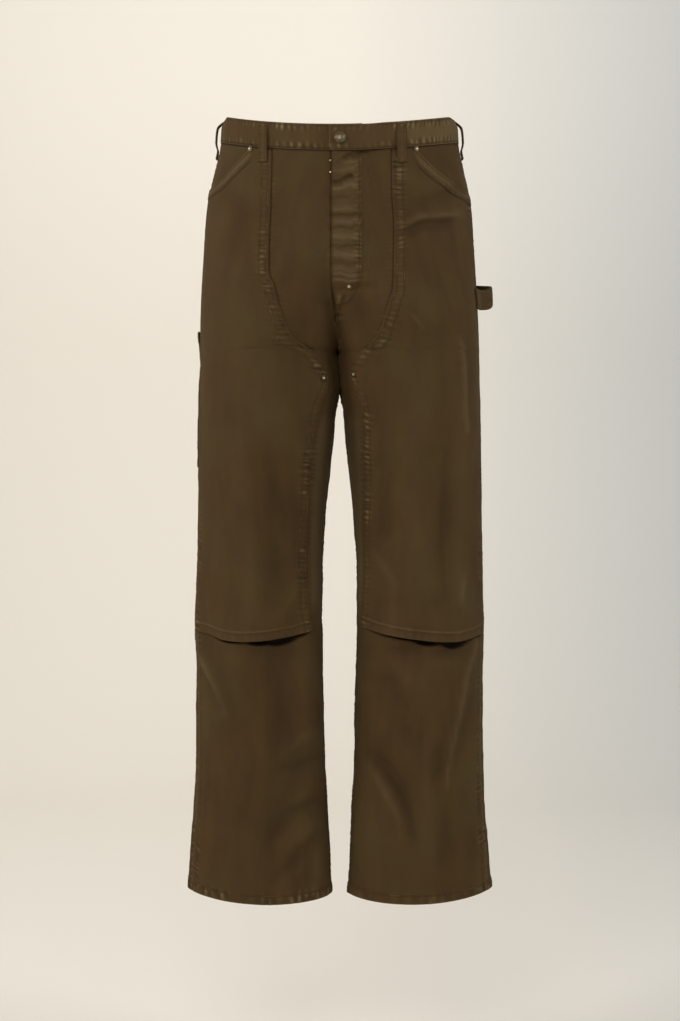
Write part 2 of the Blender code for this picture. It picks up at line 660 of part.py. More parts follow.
def seat_on_leg(thing, side, share, drop, lift):
    """Stand a turned piece on the front of a leg."""
    seat(thing, lambda i, j, out: place(side, FRONT, share + i, drop + j, out), SEAT_STEP / FOLD_GIRTH, lift)


def dome(diameter, rim, crown):
    """Profile of a domed head, from its top in the middle to its flat underside in the middle."""
    r = diameter / 2
    turns = np.radians(DOME_ANGLES)
    return [(r * math.sin(a), rim + crown * math.cos(a)) for a in turns] + [(r, 0.0), (0.0, 0.0)]


def rivet(name, material):
    """A rivet's head, not yet in its place."""
    return turned(name, dome(*RIVET), material, RIVET_SIDES)


def fasteners(material):
    """The waist button, the two studs at the fly's edge and the five rivets."""
    button = turned("waist_button", dome(*BUTTON), material, BUTTON_SIDES)
    seat_on_front(button, *BUTTON_PLACE, BAND_OUT + LAP_RAISE + LAYER_GAP)
    for name, x_at, drop in STUD_PLACES:
        stud = turned(name, dome(*STUD), material, RIVET_SIDES)
        seat_on_front(stud, x_at, drop, LAYER_GAP)
    x_at, drop = POCKET_RIVET_PLACE
    for side, word in ((RIGHT, "right"), (LEFT, "left")):
        seat_on_front(rivet(f"pocket_rivet_{word}", material), side * x_at, drop,
                      DOUBLE_FACE + TURN_RAISE + LAYER_GAP)
    seat_on_front(rivet("fly_rivet", material), *FLY_RIVET_PLACE, DOUBLE_FACE + LAYER_GAP)
    for side, name, share, drop in CROTCH_RIVET_PLACES:
        seat_on_leg(rivet(name, material), side, share, drop, DOUBLE_FACE + LAYER_GAP)


def build():
    """Every piece of the garment, each with its material."""
    cloth = principled("brown_cotton", (0.063, 0.038, 0.017), 0.85)
    double = principled("brown_cotton_double", (0.067, 0.041, 0.019), 0.85)
    trim = principled("brown_cotton_trim", (0.075, 0.048, 0.023), 0.85)
    brass = principled("antique_brass", (0.33, 0.22, 0.10), 0.35, 1.0)
    for side, word in ((RIGHT, "right"), (LEFT, "left")):
        front_panel(side, f"front_{word}_panel", cloth)
        back_panel(side, f"back_{word}_panel", cloth)
        pocket_facing(side, f"pocket_facing_{word}", cloth)
        double_front(side, f"double_front_{word}", double)
        crossing_loop(f"belt_loop_front_{word}", side * FRONT_LOOP_PLACE, FRONT, trim)
        side_loop(f"belt_loop_side_{word}", side, trim)
    tool_pocket(RIGHT, "tool_pocket_right", double)
    waistband("waistband", trim)
    fly_placket("fly_placket", double)
    crossing_loop("belt_loop_back", 0.0, BACK, trim)
    hammer_loop("hammer_loop", trim)
    fasteners(brass)


clear_scene()
parts = bpy.data.collections.new("double_front_trousers")
bpy.context.scene.collection.children.link(parts)
build()
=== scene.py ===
"""Straight work trousers in brown brushed cotton with a double front, filled out and empty.

Every cloth piece is a thin shell on the same rings as its solid, drawn finer, with its creases, puckers and
sewing. Sizes in tables are millimetres and the meshes are metres. The garment fronts -Y and hangs to -Z.
"""
import math

import bmesh
import bpy
import numpy as np
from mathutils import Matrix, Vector


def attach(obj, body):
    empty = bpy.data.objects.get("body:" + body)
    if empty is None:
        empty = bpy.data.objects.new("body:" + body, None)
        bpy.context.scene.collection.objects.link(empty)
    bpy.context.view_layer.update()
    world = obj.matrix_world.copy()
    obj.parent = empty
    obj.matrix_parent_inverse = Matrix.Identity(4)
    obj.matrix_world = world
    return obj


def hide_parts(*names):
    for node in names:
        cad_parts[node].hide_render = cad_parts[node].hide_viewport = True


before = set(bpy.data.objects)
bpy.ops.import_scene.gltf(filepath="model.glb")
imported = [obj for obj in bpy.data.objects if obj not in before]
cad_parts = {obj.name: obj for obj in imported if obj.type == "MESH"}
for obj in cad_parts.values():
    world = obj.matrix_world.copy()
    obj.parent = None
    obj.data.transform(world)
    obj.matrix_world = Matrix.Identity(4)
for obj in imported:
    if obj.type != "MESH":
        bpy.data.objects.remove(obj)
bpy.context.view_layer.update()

# Camera: level with the middle of the garment and square to its front, as in the photo.
# The photo is 1021 pixels high and shows 1.35 mm of the garment's side seams in a pixel.
PHOTO_HEIGHT = 1021
PIXEL = 0.00135
CAMERA_AWAY = 2.2
CAMERA_HEIGHT = -0.5285
CAMERA_SIDE = 0.0005
SENSOR = 36.0

camera = bpy.data.objects.new("camera", bpy.data.cameras.new("camera"))
camera.data.sensor_width = SENSOR
camera.data.lens = SENSOR * CAMERA_AWAY / (PHOTO_HEIGHT * PIXEL)
camera.location = (CAMERA_SIDE, -CAMERA_AWAY, CAMERA_HEIGHT)
camera.rotation_euler = (math.pi / 2, 0, 0)
bpy.context.scene.collection.objects.link(camera)
bpy.context.scene.camera = camera

# Studio floor: a pale paper roll that runs back under the garment and sweeps up behind it.
# Matt coated paper, so it shows soft shade only, with painted shade that greys it towards the right.
PAPER_LEFT = "#F3ECE0"
# Painted shade: towards the right the paper's colour turns greyer and darker
PAPER_RIGHT_SHADED = "#D2D2CE"
PAPER_SHADE_TURN = (0.02, 1.2)
FLOOR_DROP = 1.32
FLOOR_FRONT = -3.5
SWEEP_START = 2.2
SWEEP_RADIUS = 1.4
WALL_TOP = 2.6
PAPER_WIDTH = 9.0
PAPER_COLUMNS = 7
SWEEP_STEPS = 24


def linear(code):
    """An sRGB hex colour as linear values."""
    parts = [int(code[i:i + 2], 16) / 255 for i in (1, 3, 5)]
    return [c / 12.92 if c <= 0.04045 else ((c + 0.055) / 1.055) ** 2.4 for c in parts] + [1.0]


def add_node(tree, kind, sockets=None, **settings):
    """Add a node: settings are its own properties, and each socket takes a value or another node's output."""
    made = tree.nodes.new(kind)
    for name, value in settings.items():
        setattr(made, name, value)
    for name, value in (sockets or {}).items():
        if isinstance(value, bpy.types.NodeSocket):
            tree.links.new(value, made.inputs[name])
        else:
            made.inputs[name].default_value = value
    return made


def new_material(name):
    """An empty material with its output node, and its node tree."""
    material = bpy.data.materials.new(name)
    material.use_nodes = True
    tree = material.node_tree
    tree.nodes.clear()
    return material, tree


def spread(tree, value, low, high, start=0.0, end=1.0):
    """A node's output between low and high, spread over start to end and held there beyond them."""
    return add_node(tree, "ShaderNodeMapRange", {"Value": value, "From Min": low, "From Max": high,
                                                 "To Min": start, "To Max": end}).outputs[0]


def mixed(tree, factor, first, second):
    """The colour between two colours at a factor."""
    return add_node(tree, "ShaderNodeMix", {"Factor": factor, 6: first, 7: second},
                    data_type="RGBA").outputs[2]


def matt_paper():
    """Matt paper with a faint tooth, which keeps the floor from looking like plastic, with painted shade that
    makes it greyer and darker towards the right.
    """
    material, tree = new_material("matt_studio_paper")
    tooth = add_node(tree, "ShaderNodeTexNoise", {"Scale": 400.0, "Detail": 2.0})
    bump = add_node(tree, "ShaderNodeBump", {"Height": tooth.outputs["Fac"], "Strength": 0.05,
                                             "Distance": 0.0005})
    place_node = add_node(tree, "ShaderNodeTexCoord")
    sideways = add_node(tree, "ShaderNodeSeparateXYZ", {0: place_node.outputs["Object"]})
    # Painted shade: the colour greys and darkens towards the right
    turned = spread(tree, sideways.outputs[0], *PAPER_SHADE_TURN)
    shader = add_node(tree, "ShaderNodeBsdfPrincipled", {
        "Base Color": mixed(tree, turned, linear(PAPER_LEFT), linear(PAPER_RIGHT_SHADED)), "Roughness": 0.9,
        "Normal": bump.outputs["Normal"],
    })
    add_node(tree, "ShaderNodeOutputMaterial", {"Surface": shader.outputs["BSDF"]})
    return material


def mesh_object(name, points, faces, material):
    """An object from points in metres and faces, shaded smooth."""
    mesh = bpy.data.meshes.new(name)
    mesh.from_pydata(points.tolist(), [], faces.tolist())
    mesh.materials.append(material)
    mesh.shade_smooth()
    made = bpy.data.objects.new(name, mesh)
    bpy.context.scene.collection.objects.link(made)
    return made


def grid_faces(rows, columns, start=0):
    """Quads of a grid of points numbered row by row."""
    index = start + np.arange(rows * columns).reshape(rows, columns)
    return np.stack([index[:-1, :-1], index[1:, :-1], index[1:, 1:], index[:-1, 1:]], axis=-1).reshape(-1, 4)


turn = np.linspace(0, math.pi / 2, SWEEP_STEPS)
sweep_y = np.concatenate([[FLOOR_FRONT], SWEEP_START + SWEEP_RADIUS * np.sin(turn),
                          [SWEEP_START + SWEEP_RADIUS]])
sweep_z = np.concatenate([[0.0], SWEEP_RADIUS * (1 - np.cos(turn)), [WALL_TOP + FLOOR_DROP]]) - FLOOR_DROP
across_paper = np.linspace(-PAPER_WIDTH / 2, PAPER_WIDTH / 2, PAPER_COLUMNS)
paper_grid = np.broadcast_arrays(across_paper[None, :], sweep_y[:, None], sweep_z[:, None])
floor = mesh_object("studio_floor", np.stack(paper_grid, axis=-1).reshape(-1, 3),
                    grid_faces(len(sweep_y), PAPER_COLUMNS), matt_paper())

# Studio light: large soft boxes in front and above, and an even pale room round them.
# The light is flat, so the cloth's own tone shows and its creases stay soft.
SOFT_BOXES = (
    # name, place, aimed at, width, height, watts
    ("key", (-2.75, -1.15, 0.9), (0.0, 0.0, -0.5), 1.2, 2.2, 60.0),
    ("fill", (2.75, -1.15, 0.8), (0.0, 0.0, -0.5), 1.2, 2.2, 47.0),
    ("front", (-0.4, -2.7, 0.9), (0.0, 0.0, -0.5), 1.4, 1.0, 30.0),
    ("backdrop", (0.0, 1.9, 1.9), (0.0, 3.6, -1.45), 4.2, 1.2, 33.0),
)
ROOM = "#F2EEE8"
ROOM_STRENGTH = 0.28
for box_name, place_at, aim, box_width, box_height, watts in SOFT_BOXES:
    lamp = bpy.data.lights.new(f"soft_box_{box_name}", "AREA")
    lamp.shape = "RECTANGLE"
    lamp.size = box_width
    lamp.size_y = box_height
    lamp.energy = watts
    stand = bpy.data.objects.new(lamp.name, lamp)
    stand.location = place_at
    stand.rotation_mode = "QUATERNION"
    stand.rotation_quaternion = (Vector(aim) - Vector(place_at)).to_track_quat("-Z", "Y")
    bpy.context.scene.collection.objects.link(stand)
room = bpy.data.worlds.new("pale_room")
room.use_nodes = True
room.node_tree.nodes["Background"].inputs["Color"].default_value = linear(ROOM)
room.node_tree.nodes["Background"].inputs["Strength"].default_value = ROOM_STRENGTH
bpy.context.scene.world = room
bpy.context.scene.view_settings.view_transform = "Standard"

# Front panels: the lower layer of each front, cut in heavy brown cotton and sewn to the back at the side.
# Below the knee they show whole; above it only the strip beside the double front does.
MM = 0.001
RIGHT = -1
LEFT = 1
FRONT = -1
BACK = 1
CLOTH = 1.5
# Sewn seams are all but shut, so that no light shows through them
SEAM_GAP = 0.04
LAYER_GAP = 0.3
WAIST_SEAM_DROP = 35.4
CROTCH_DROP = 323.0
CROTCH_START = 316.0
HEM_DROP = 1034.0
HEM_TURN = 13.0
HEM_WARP_START = 900.0
HEM_DIP_FRONT = 8.0
HEM_DIP_INNER = 9.0
WAIST_DIP_FRONT = 32.0
WAIST_RISE_BACK = 20.0
WARP_POWER = 1.5
FLY_LEAN_DEPTH = 40.0
FLY_LEAN_POWER = 4
RING_STEPS = 96
SIDE_SEAM = 0.09
HALF_SEAM_SHARE = 0.0001
FRONT_START = SIDE_SEAM + HALF_SEAM_SHARE
SIDE_HALF_WIDTH = (
    # drop below the waist edge, half width
    (0, 157.0), (39, 159.8), (69, 166.4), (101, 173.1), (134, 177.4), (182, 180.9), (247, 184.3),
    (312, 186.2), (377, 188.4), (441, 189.8), (539, 191.4), (636, 193.2), (668, 194.6), (700, 194.4),
    (733, 194.0), (863, 194.4), (927, 197.1), (992, 202.2), (1034, 205.3),
)
INNER_REACH = (
    # drop, inner end of a half's ring
    (0, -157.0), (39, -159.8), (100, -157), (180, -135), (231, -89), (270, -44), (300, -14), (315, -4.3),
    (323, 0.6), (363, 1.0), (377, 1.8), (393, 5.0), (425, 8.0), (474, 12.8), (539, 19.1), (603, 23.2),
    (668, 23.8), (733, 22.4), (798, 21.5), (863, 19.9), (927, 16.7), (992, 13.2), (1041, 10.5),
)
FRONT_DEPTH = (
    # drop, depth
    (0, 108), (150, 122), (250, 125), (323, 114), (431, 104), (575, 77), (690, 74), (860, 66), (1034, 59),
)
BACK_DEPTH = (
    # drop, depth
    (0, 113), (60, 120), (180, 145), (250, 140), (323, 121), (431, 104), (600, 84), (750, 76), (1034, 64),
)
OVAL_POWER = (
    # drop, power of the sine
    (0, 0.92), (250, 0.92), (323, 0.95), (431, 1.0), (575, 1.05), (1034, 1.12),
)
FLY_SHIFT = (
    # drop, sideways shift of the centre front
    (0, -10.5), (215, -10.5), (250, -8.5), (281, -4.0), (300, -2.6), (326, -1.8), (350, 0.4), (372, 1.8),
    (400, 1.2), (1034, 0.5),
)
# Creases: side, face, share and drop at both ends, half width, depth (in is negative), bow sideways
CREASES = (
    # side, face, share 1, drop 1, share 2, drop 2, half width, depth, bow
    (RIGHT, FRONT, 0.10, 701, 0.30, 791, 12, 1.8, 0),
    (RIGHT, FRONT, 0.20, 705, 0.42, 805, 15, -4.0, 0),
    (RIGHT, FRONT, 0.62, 705, 0.60, 960, 26, -4.5, 0),
    (RIGHT, FRONT, 0.80, 859, 0.59, 944, 14, -3.5, 0),
    (LEFT, FRONT, 0.18, 713, 0.27, 804, 12, 1.2, 0),
    (LEFT, FRONT, 0.27, 804, 0.36, 882, 12, 1.0, 0),
    (LEFT, FRONT, 0.86, 844, 0.66, 902, 12, 1.6, 0),
    (LEFT, FRONT, 0.66, 902, 0.56, 950, 12, 1.4, 0),
    (LEFT, FRONT, 0.77, 838, 0.54, 915, 14, -4.0, 0),
    (RIGHT, BACK, 0.35, 640, 0.75, 700, 22, -5.0, 0),
    (LEFT, BACK, 0.30, 690, 0.70, 640, 22, -4.5, 0),
    (RIGHT, BACK, 0.60, 780, 0.40, 940, 20, -4.0, 0),
    (LEFT, BACK, 0.55, 760, 0.60, 930, 20, -4.5, 0),
    (RIGHT, BACK, 0.45, 355, 0.80, 405, 20, -4.5, 0),
    (LEFT, BACK, 0.45, 360, 0.82, 400, 20, -4.0, 0),
    (RIGHT, FRONT, 0.15, 724, 0.25, 763, 6, 3.0, 0),
    (RIGHT, FRONT, 0.25, 763, 0.33, 799, 6, 2.5, 0),
    (RIGHT, FRONT, 0.16, 743, 0.28, 786, 7, -3.0, 0),
    (RIGHT, FRONT, 0.60, 713, 0.63, 843, 14, -3.0, 0),
    (RIGHT, FRONT, 0.72, 715, 0.74, 778, 14, 2.5, 0),
    (RIGHT, FRONT, 0.65, 848, 0.81, 822, 9, 3.0, 0),
    (RIGHT, FRONT, 0.64, 871, 0.88, 858, 8, -2.5, 0),
    (RIGHT, FRONT, 0.58, 955, 0.70, 928, 9, -3.5, 0),
    (RIGHT, FRONT, 0.70, 928, 0.86, 914, 9, -3.5, 0),
    (RIGHT, FRONT, 0.65, 966, 0.86, 941, 10, 2.5, 0),
    (RIGHT, FRONT, 0.60, 1003, 0.83, 960, 9, -3.5, 0),
    (RIGHT, FRONT, 0.85, 974, 0.83, 1015, 8, 2.0, 0),
    (RIGHT, FRONT, 0.38, 430, 0.43, 517, 14, 2.5, 0),
    (RIGHT, FRONT, 0.43, 517, 0.47, 660, 14, 2.5, 0),
    (RIGHT, FRONT, 0.55, 476, 0.59, 593, 18, -4.5, 0),
    (RIGHT, FRONT, 0.59, 593, 0.60, 650, 18, -5.5, 0),
    (RIGHT, FRONT, 0.68, 540, 0.68, 690, 24, -4.5, 0),
    (LEFT, FRONT, 0.22, 250, 0.20, 460, 20, 2.8, 0),
    (RIGHT, FRONT, 0.65, 665, 0.74, 625, 8, 3.0, 0),
    (RIGHT, FRONT, 0.74, 297, 0.66, 424, 16, -3.5, 0),
    (RIGHT, FRONT, 0.58, 284, 0.49, 412, 18, 2.0, 0),
    (RIGHT, FRONT, 0.34, 98, 0.38, 197, 14, 1.5, 0),
    (RIGHT, FRONT, 0.38, 106, 0.62, 133, 12, -2.0, 0),
    (RIGHT, FRONT, 0.47, 716, 0.74, 711, 9, -2.5, 0),
    (LEFT, FRONT, 0.16, 702, 0.24, 743, 4, 2.4, 0),
    (LEFT, FRONT, 0.24, 743, 0.29, 800, 4, 2.4, 0),
    (LEFT, FRONT, 0.29, 800, 0.35, 867, 4, 2.0, 0),
    (LEFT, FRONT, 0.35, 867, 0.36, 897, 4, 1.6, 0),
    (LEFT, FRONT, 0.21, 779, 0.30, 856, 8, -3.0, 0),
    (LEFT, FRONT, 0.40, 845, 0.42, 888, 9, -3.0, 0),
    (LEFT, FRONT, 0.83, 851, 0.72, 867, 8, -4.0, 0),
    (LEFT, FRONT, 0.72, 867, 0.62, 897, 8, -4.0, 0),
    (LEFT, FRONT, 0.62, 897, 0.57, 926, 8, -4.0, 0),
    (LEFT, FRONT, 0.57, 926, 0.54, 959, 8, -3.5, 0),
    (LEFT, FRONT, 0.78, 872, 0.70, 902, 7, 2.0, 0),
    (LEFT, FRONT, 0.70, 902, 0.61, 934, 7, 2.0, 0),
    (LEFT, FRONT, 0.83, 751, 0.68, 753, 9, -2.5, 0),
    (LEFT, FRONT, 0.68, 753, 0.56, 796, 9, -2.5, 0),
    (LEFT, FRONT, 0.60, 809, 0.57, 835, 12, -3.5, 0),
    (LEFT, FRONT, 0.65, 731, 0.52, 763, 12, 2.0, 0),
    (LEFT, FRONT, 0.46, 822, 0.45, 991, 12, 2.5, 0),
    (LEFT, FRONT, 0.37, 908, 0.36, 993, 10, -2.5, 0),
    (LEFT, FRONT, 0.67, 386, 0.66, 463, 12, -4.0, 0),
    (LEFT, FRONT, 0.66, 463, 0.68, 557, 12, -4.0, 0),
    (LEFT, FRONT, 0.48, 387, 0.51, 645, 18, 2.5, 0),
    (LEFT, FRONT, 0.38, 453, 0.38, 645, 6, -2.5, 0),
    (LEFT, FRONT, 0.29, 385, 0.29, 646, 10, 2.0, 0),
    (LEFT, FRONT, 0.33, 307, 0.27, 369, 5, 3.2, 2),
    (LEFT, FRONT, 0.27, 369, 0.26, 424, 5, 3.2, -2),
    (LEFT, FRONT, 0.50, 303, 0.39, 306, 14, -3.0, 0),
    (LEFT, FRONT, 0.61, 162, 0.52, 148, 8, -3.5, 0),
    (LEFT, FRONT, 0.52, 148, 0.30, 146, 8, -3.5, 0),
    (LEFT, FRONT, 0.61, 148, 0.51, 135, 7, 3.0, 0),
    (LEFT, FRONT, 0.51, 135, 0.24, 132, 7, 3.0, 0),
    (LEFT, FRONT, 0.52, 118, 0.20, 97, 9, -3.0, 0),
    (LEFT, FRONT, 0.76, 586, 0.64, 627, 6, 1.8, 0),
    (LEFT, FRONT, 0.62, 276, 0.54, 297, 3, 1.2, 0),
    (LEFT, FRONT, 0.30, 652, 0.26, 613, 5, 1.8, 0),
    (LEFT, FRONT, 0.53, 712, 0.68, 712, 9, -4.0, 0),
    (LEFT, FRONT, 0.25, 711, 0.42, 716, 9, -4.5, 0),
)
# Creases near and across the centre, above the crotch
CENTRE_CREASES = (
    # place across 1, drop 1, place across 2, drop 2, half width, depth
    (-8, 190, -8, 262, 8, -2.4), (-8, 262, -5, 318, 9, -2.6),
    (16, 252, 1, 281, 3.5, -2.5), (2, 247, -1, 281, 3, -2.5), (8, 252, 1, 272, 3, 1.5),
    (18, 46, 47, 39, 3.2, -3.2), (20, 53, 46, 47, 4, 1.6),
    (4, 81, 27, 75, 3.0, -3.8), (3, 90, 30, 86, 4.5, 2.0), (8, 66, 30, 62, 4, 1.3),
    (1, 130, 37, 132, 2.6, -1.8), (1, 123, 30, 122, 4, 1.2), (1, 140, 36, 141, 4.5, 1.4),
    (1, 151, 26, 150, 2.2, -1.4), (1, 163, 34, 165, 5, 1.5), (1, 178, 34, 178, 2.4, -1.6),
    (1, 190, 34, 192, 5.5, 1.6), (3, 204, 30, 206, 3, -1.2), (1, 214, 36, 213, 4, 1.0),
    (1, 105, 22, 104, 2.6, -1.2), (2, 221, 42, 223, 2.2, 1.6), (2, 229, 44, 230, 2.0, 1.4),
    (5, 240, 46, 240, 6, -2.6),
)
CENTRE_REACH = (48.0, 70.0)
CENTRE_END = (312.0, 326.0)
# How the centre's creases wander: height, spacing across and down, seed
CENTRE_WANDER = ((2.6, 11, 17, 91), (1.2, 5, 9, 92))
# Small unevenness of the side and inside leg seams: spacing along the seam and height
SEAM_SWELLS = ((62.0, 0.9), (24.0, 0.7), (8.5, 0.4))
SEAM_SWELL_REACH = 0.10
LEG_SEAM_START = (362.0, 400.0)
# Where the thighs press together they meet in a wavy line, and the wearer's left one stands forward
THIGH_TOUCH = (318.0, 336.0, 352.0, 377.0)
THIGH_PRESS = 6.0
THIGH_PRESS_START = (-14.0, 12.0)
THIGH_ZONE = (292.0, 330.0, 366.0, 430.0)
THIGH_FOLD = {
    # height, distance before the centre fold, half width
    RIGHT: (-1.5, 9.0, 13.0), LEFT: (3.5, 14.0, 18.0),
}
# Near the crotch the front of each thigh stays full right up to the fold: how much squarer its ring is there
THIGH_FULLNESS = (
    # drop, taken off the power of the sine
    (215, 0.0), (275, 0.24), (315, 0.42), (365, 0.40), (430, 0.14), (490, 0.0),
)
THIGH_FULL_START = 0.2
TOUCH_WAVE = 1.2
TOUCH_LENGTH = 34.0
CREASE_GIRTH = 240.0
CREASE_SEAM_FADE = 21.0
CREASE_SCALE = {True: 1.35, False: 0.95}
CREASE_END_DEPTH = 0.55
CREASE_STEPS = 10
CREASE_SEAM_END = 385.0
# The waistband holds the cloth smooth between these drops
WAIST_HOLD = (36.0, 90.0)
# Slack of the filled-out cloth: how far apart its swells are and how high they stand
SLACK = (
    # spacing, height
    (95.0, 1.1), (42.0, 0.5), (19.0, 0.16),
)


def curve(points, at):
    """A smooth curve through a table's two columns that doesn't overshoot it."""
    xs = np.array([p[0] for p in points], float)
    ys = np.array([p[1] for p in points], float)
    at = np.clip(np.asarray(at, float), xs[0], xs[-1])
    step = np.diff(xs)
    slope = np.diff(ys) / step
    tangent = np.zeros_like(ys)
    tangent[0], tangent[-1] = slope[0], slope[-1]
    for i in range(1, len(xs) - 1):
        if slope[i - 1] * slope[i] > 0:
            before = 2 * step[i] + step[i - 1]
            after = step[i] + 2 * step[i - 1]
            tangent[i] = (before + after) / (before / slope[i - 1] + after / slope[i])
    k = np.clip(np.searchsorted(xs, at, side="right") - 1, 0, len(xs) - 2)
    t = (at - xs[k]) / step[k]
    return ((1 + 2 * t) * (1 - t) ** 2 * ys[k] + t * (1 - t) ** 2 * step[k] * tangent[k]
            + t * t * (3 - 2 * t) * ys[k + 1] + t * t * (t - 1) * step[k] * tangent[k + 1])


def fade(value, start, end):
    """0 before start, 1 after end, smooth between."""
    t = np.clip((value - start) / (end - start), 0, 1)
    return t * t * (3 - 2 * t)


def mound(distance, half_width):
    """1 at its middle and down to about a third at its half width, like a soft ridge."""
    return np.exp(-(distance / half_width) ** 2)


def swell(u, v, seed):
    """Smooth uneven heights from -1 to 1, one chance height at each whole number."""
    heights = np.random.default_rng(seed).uniform(-1, 1, (64, 64))
    u, v = np.broadcast_arrays(np.asarray(u, float), np.asarray(v, float))
    i, j = np.floor(u).astype(int), np.floor(v).astype(int)
    a, b = fade(u - i, 0, 1), fade(v - j, 0, 1)
    i, j, i2, j2 = i % 64, j % 64, (i + 1) % 64, (j + 1) % 64
    return ((1 - a) * ((1 - b) * heights[i, j] + b * heights[i, j2])
            + a * ((1 - b) * heights[i2, j] + b * heights[i2, j2]))


def seed_of(side, face, extra=0):
    """A fixed seed for each half and face."""
    return 10 * (side + 1) + (face + 1) + 100 * extra + 7


def crease_depth(side, face, share, drop, sharpness=None):
    """How far the creases move the cloth in or out at a point, as laid out on the unrolled cloth.

    With a sharpness in millimetres each crease counts by that over its half width.
    """
    share, drop = np.broadcast_arrays(np.asarray(share, float), np.asarray(drop, float))
    total = np.zeros(share.shape)
    for row_side, row_face, u0, h0, u1, h1, half_width, depth, bow in CREASES:
        if row_side != side or row_face != face:
            continue
        x0, x1 = u0 * girth(face, h0), u1 * girth(face, h1)
        length = math.hypot(x1 - x0, h1 - h0)
        nearest = np.full(share.shape, 1e9)
        place_along = np.zeros(share.shape)
        steps = CREASE_STEPS if bow else 1
        for k in range(steps):
            ends = []
            for t in (k / steps, (k + 1) / steps):
                bulge = 4 * bow * t * (1 - t)
                ends.append((x0 + (x1 - x0) * t - bulge * (h1 - h0) / length,
                             h0 + (h1 - h0) * t + bulge * (x1 - x0) / length))
            (ax, ay), (bx, by) = ends
            dx, dy = bx - ax, by - ay
            px, py = share * girth(face, drop) - ax, drop - ay
            along = np.clip((px * dx + py * dy) / (dx * dx + dy * dy), 0, 1)
            away = np.hypot(px - along * dx, py - along * dy)
            closer = away < nearest
            nearest = np.where(closer, away, nearest)
            place_along = np.where(closer, (k + along) / steps, place_along)
        rise = CREASE_END_DEPTH + (1 - CREASE_END_DEPTH) * np.sin(math.pi * place_along)
        weight = 1.0 if sharpness is None else sharpness / half_width
        total = total + weight * CREASE_SCALE[depth < 0] * depth * rise * mound(nearest, half_width)
    return total


def centre_creases(x_at, drop):
    """Creases near the fly and the crotch, laid out across the centre, none of them quite straight."""
    total = 0.0 * x_at
    drop = drop + sum(height * swell(x_at / wide + 20, drop / tall, seed)
                      for height, wide, tall, seed in CENTRE_WANDER)
    for x0, h0, x1, h1, half_width, depth in CENTRE_CREASES:
        dx, dy = x1 - x0, h1 - h0
        along = np.clip(((x_at - x0) * dx + (drop - h0) * dy) / (dx * dx + dy * dy), 0, 1)
        away = np.hypot(x_at - x0 - along * dx, drop - h0 - along * dy)
        total = total + depth * mound(away, half_width)
    return total * (1 - fade(np.abs(x_at), *CENTRE_REACH)) * (1 - fade(drop, *CENTRE_END))


def before_fold(face, share, drop):
    """Distance before the centre seam, and below it before the fold that goes on from it down the thigh."""
    return np.minimum(girth(face, drop), girth(face, CROTCH_START)) - share * girth(face, drop)


def seam_relief(side, face, share, drop):
    """Unevenness of the side and inside leg seams, the same in front and behind, and the thighs' touch."""
    side_swell, leg_swell = (
        sum(height * swell(drop / spacing, 3.5 + 0 * drop, seed_of(side, 0, first + number))
            for number, (spacing, height) in enumerate(SEAM_SWELLS))
        for first in (20, 30))
    total = side_swell * mound(share, SEAM_SWELL_REACH) * fade(drop, *WAIST_HOLD)
    from_inseam = 1 - share
    total = total + leg_swell * mound(from_inseam, SEAM_SWELL_REACH) * fade(drop, *LEG_SEAM_START)
    touch = fade(drop, *THIGH_TOUCH[:2]) * (1 - fade(drop, *THIGH_TOUCH[2:]))
    past_fold = -before_fold(face, share, drop)
    total = total + touch * THIGH_PRESS * fade(past_fold, *THIGH_PRESS_START)
    if face == FRONT:
        height, before, half_width = THIGH_FOLD[side]
        zone = fade(drop, *THIGH_ZONE[:2]) * (1 - fade(drop, *THIGH_ZONE[2:]))
        total = total + height * zone * mound(past_fold + before, half_width)
    return total


def slack(side, face, share, drop):
    """Creases and slack together; away from the centre they fade at the seams so that panels meet."""
    share, drop = np.broadcast_arrays(np.asarray(share, float), np.asarray(drop, float))
    total = crease_depth(side, face, share, drop)
    for number, (spacing, height) in enumerate(SLACK):
        total = total + height * swell(share * girth(face, drop) / spacing, drop / (1.4 * spacing),
                                       seed_of(side, face, number))
    to_seam = np.interp(drop, every_drop, SEAM_RUNS[face]) - share * girth(face, drop)
    seam_fade = (np.clip(share * girth(face, drop) / CREASE_SEAM_FADE, 0, 1)
                 * np.clip(to_seam / CREASE_SEAM_FADE, 0, 1))
    total = total * seam_fade * fade(drop, *WAIST_HOLD) + seam_relief(side, face, share, drop)
    if face == FRONT:
        total = total + centre_creases(side * (1 - share) * CREASE_GIRTH, drop)
    return total


def hang(x, y, drop, depth):
    """The last bend of every layer: the dipped waist, the curved hem and the fly's lean."""
    forward = np.maximum(-y / depth, 0) ** WARP_POWER
    rearward = np.maximum(y / depth, 0) ** WARP_POWER
    waist_fade = 0.5 * (1 + np.cos(math.pi * np.clip(drop / CROTCH_DROP, 0, 1)))
    down = waist_fade * (WAIST_DIP_FRONT * forward - WAIST_RISE_BACK * rearward)
    hem_fade = fade(drop, HEM_WARP_START, HEM_DROP)
    outer = curve(SIDE_HALF_WIDTH, drop)
    inward = np.clip(1 - np.abs(x) / outer, 0, 1)
    down = down + hem_fade * (HEM_DIP_FRONT * forward + HEM_DIP_INNER * inward)
    lean = curve(FLY_SHIFT, drop) * (1 - (1 - inward) ** FLY_LEAN_POWER) * fade(-y, 0, FLY_LEAN_DEPTH)
    return x + lean, y, -(drop + down)


def oval(side, face, drop):
    """Centre, half width, depth and power of a half's ring at a drop."""
    outer = curve(SIDE_HALF_WIDTH, drop)
    inner = curve(INNER_REACH, drop)
    depth = curve(FRONT_DEPTH if face == FRONT else BACK_DEPTH, drop)
    return (outer + inner) / 2, (outer - inner) / 2, depth, curve(OVAL_POWER, drop)


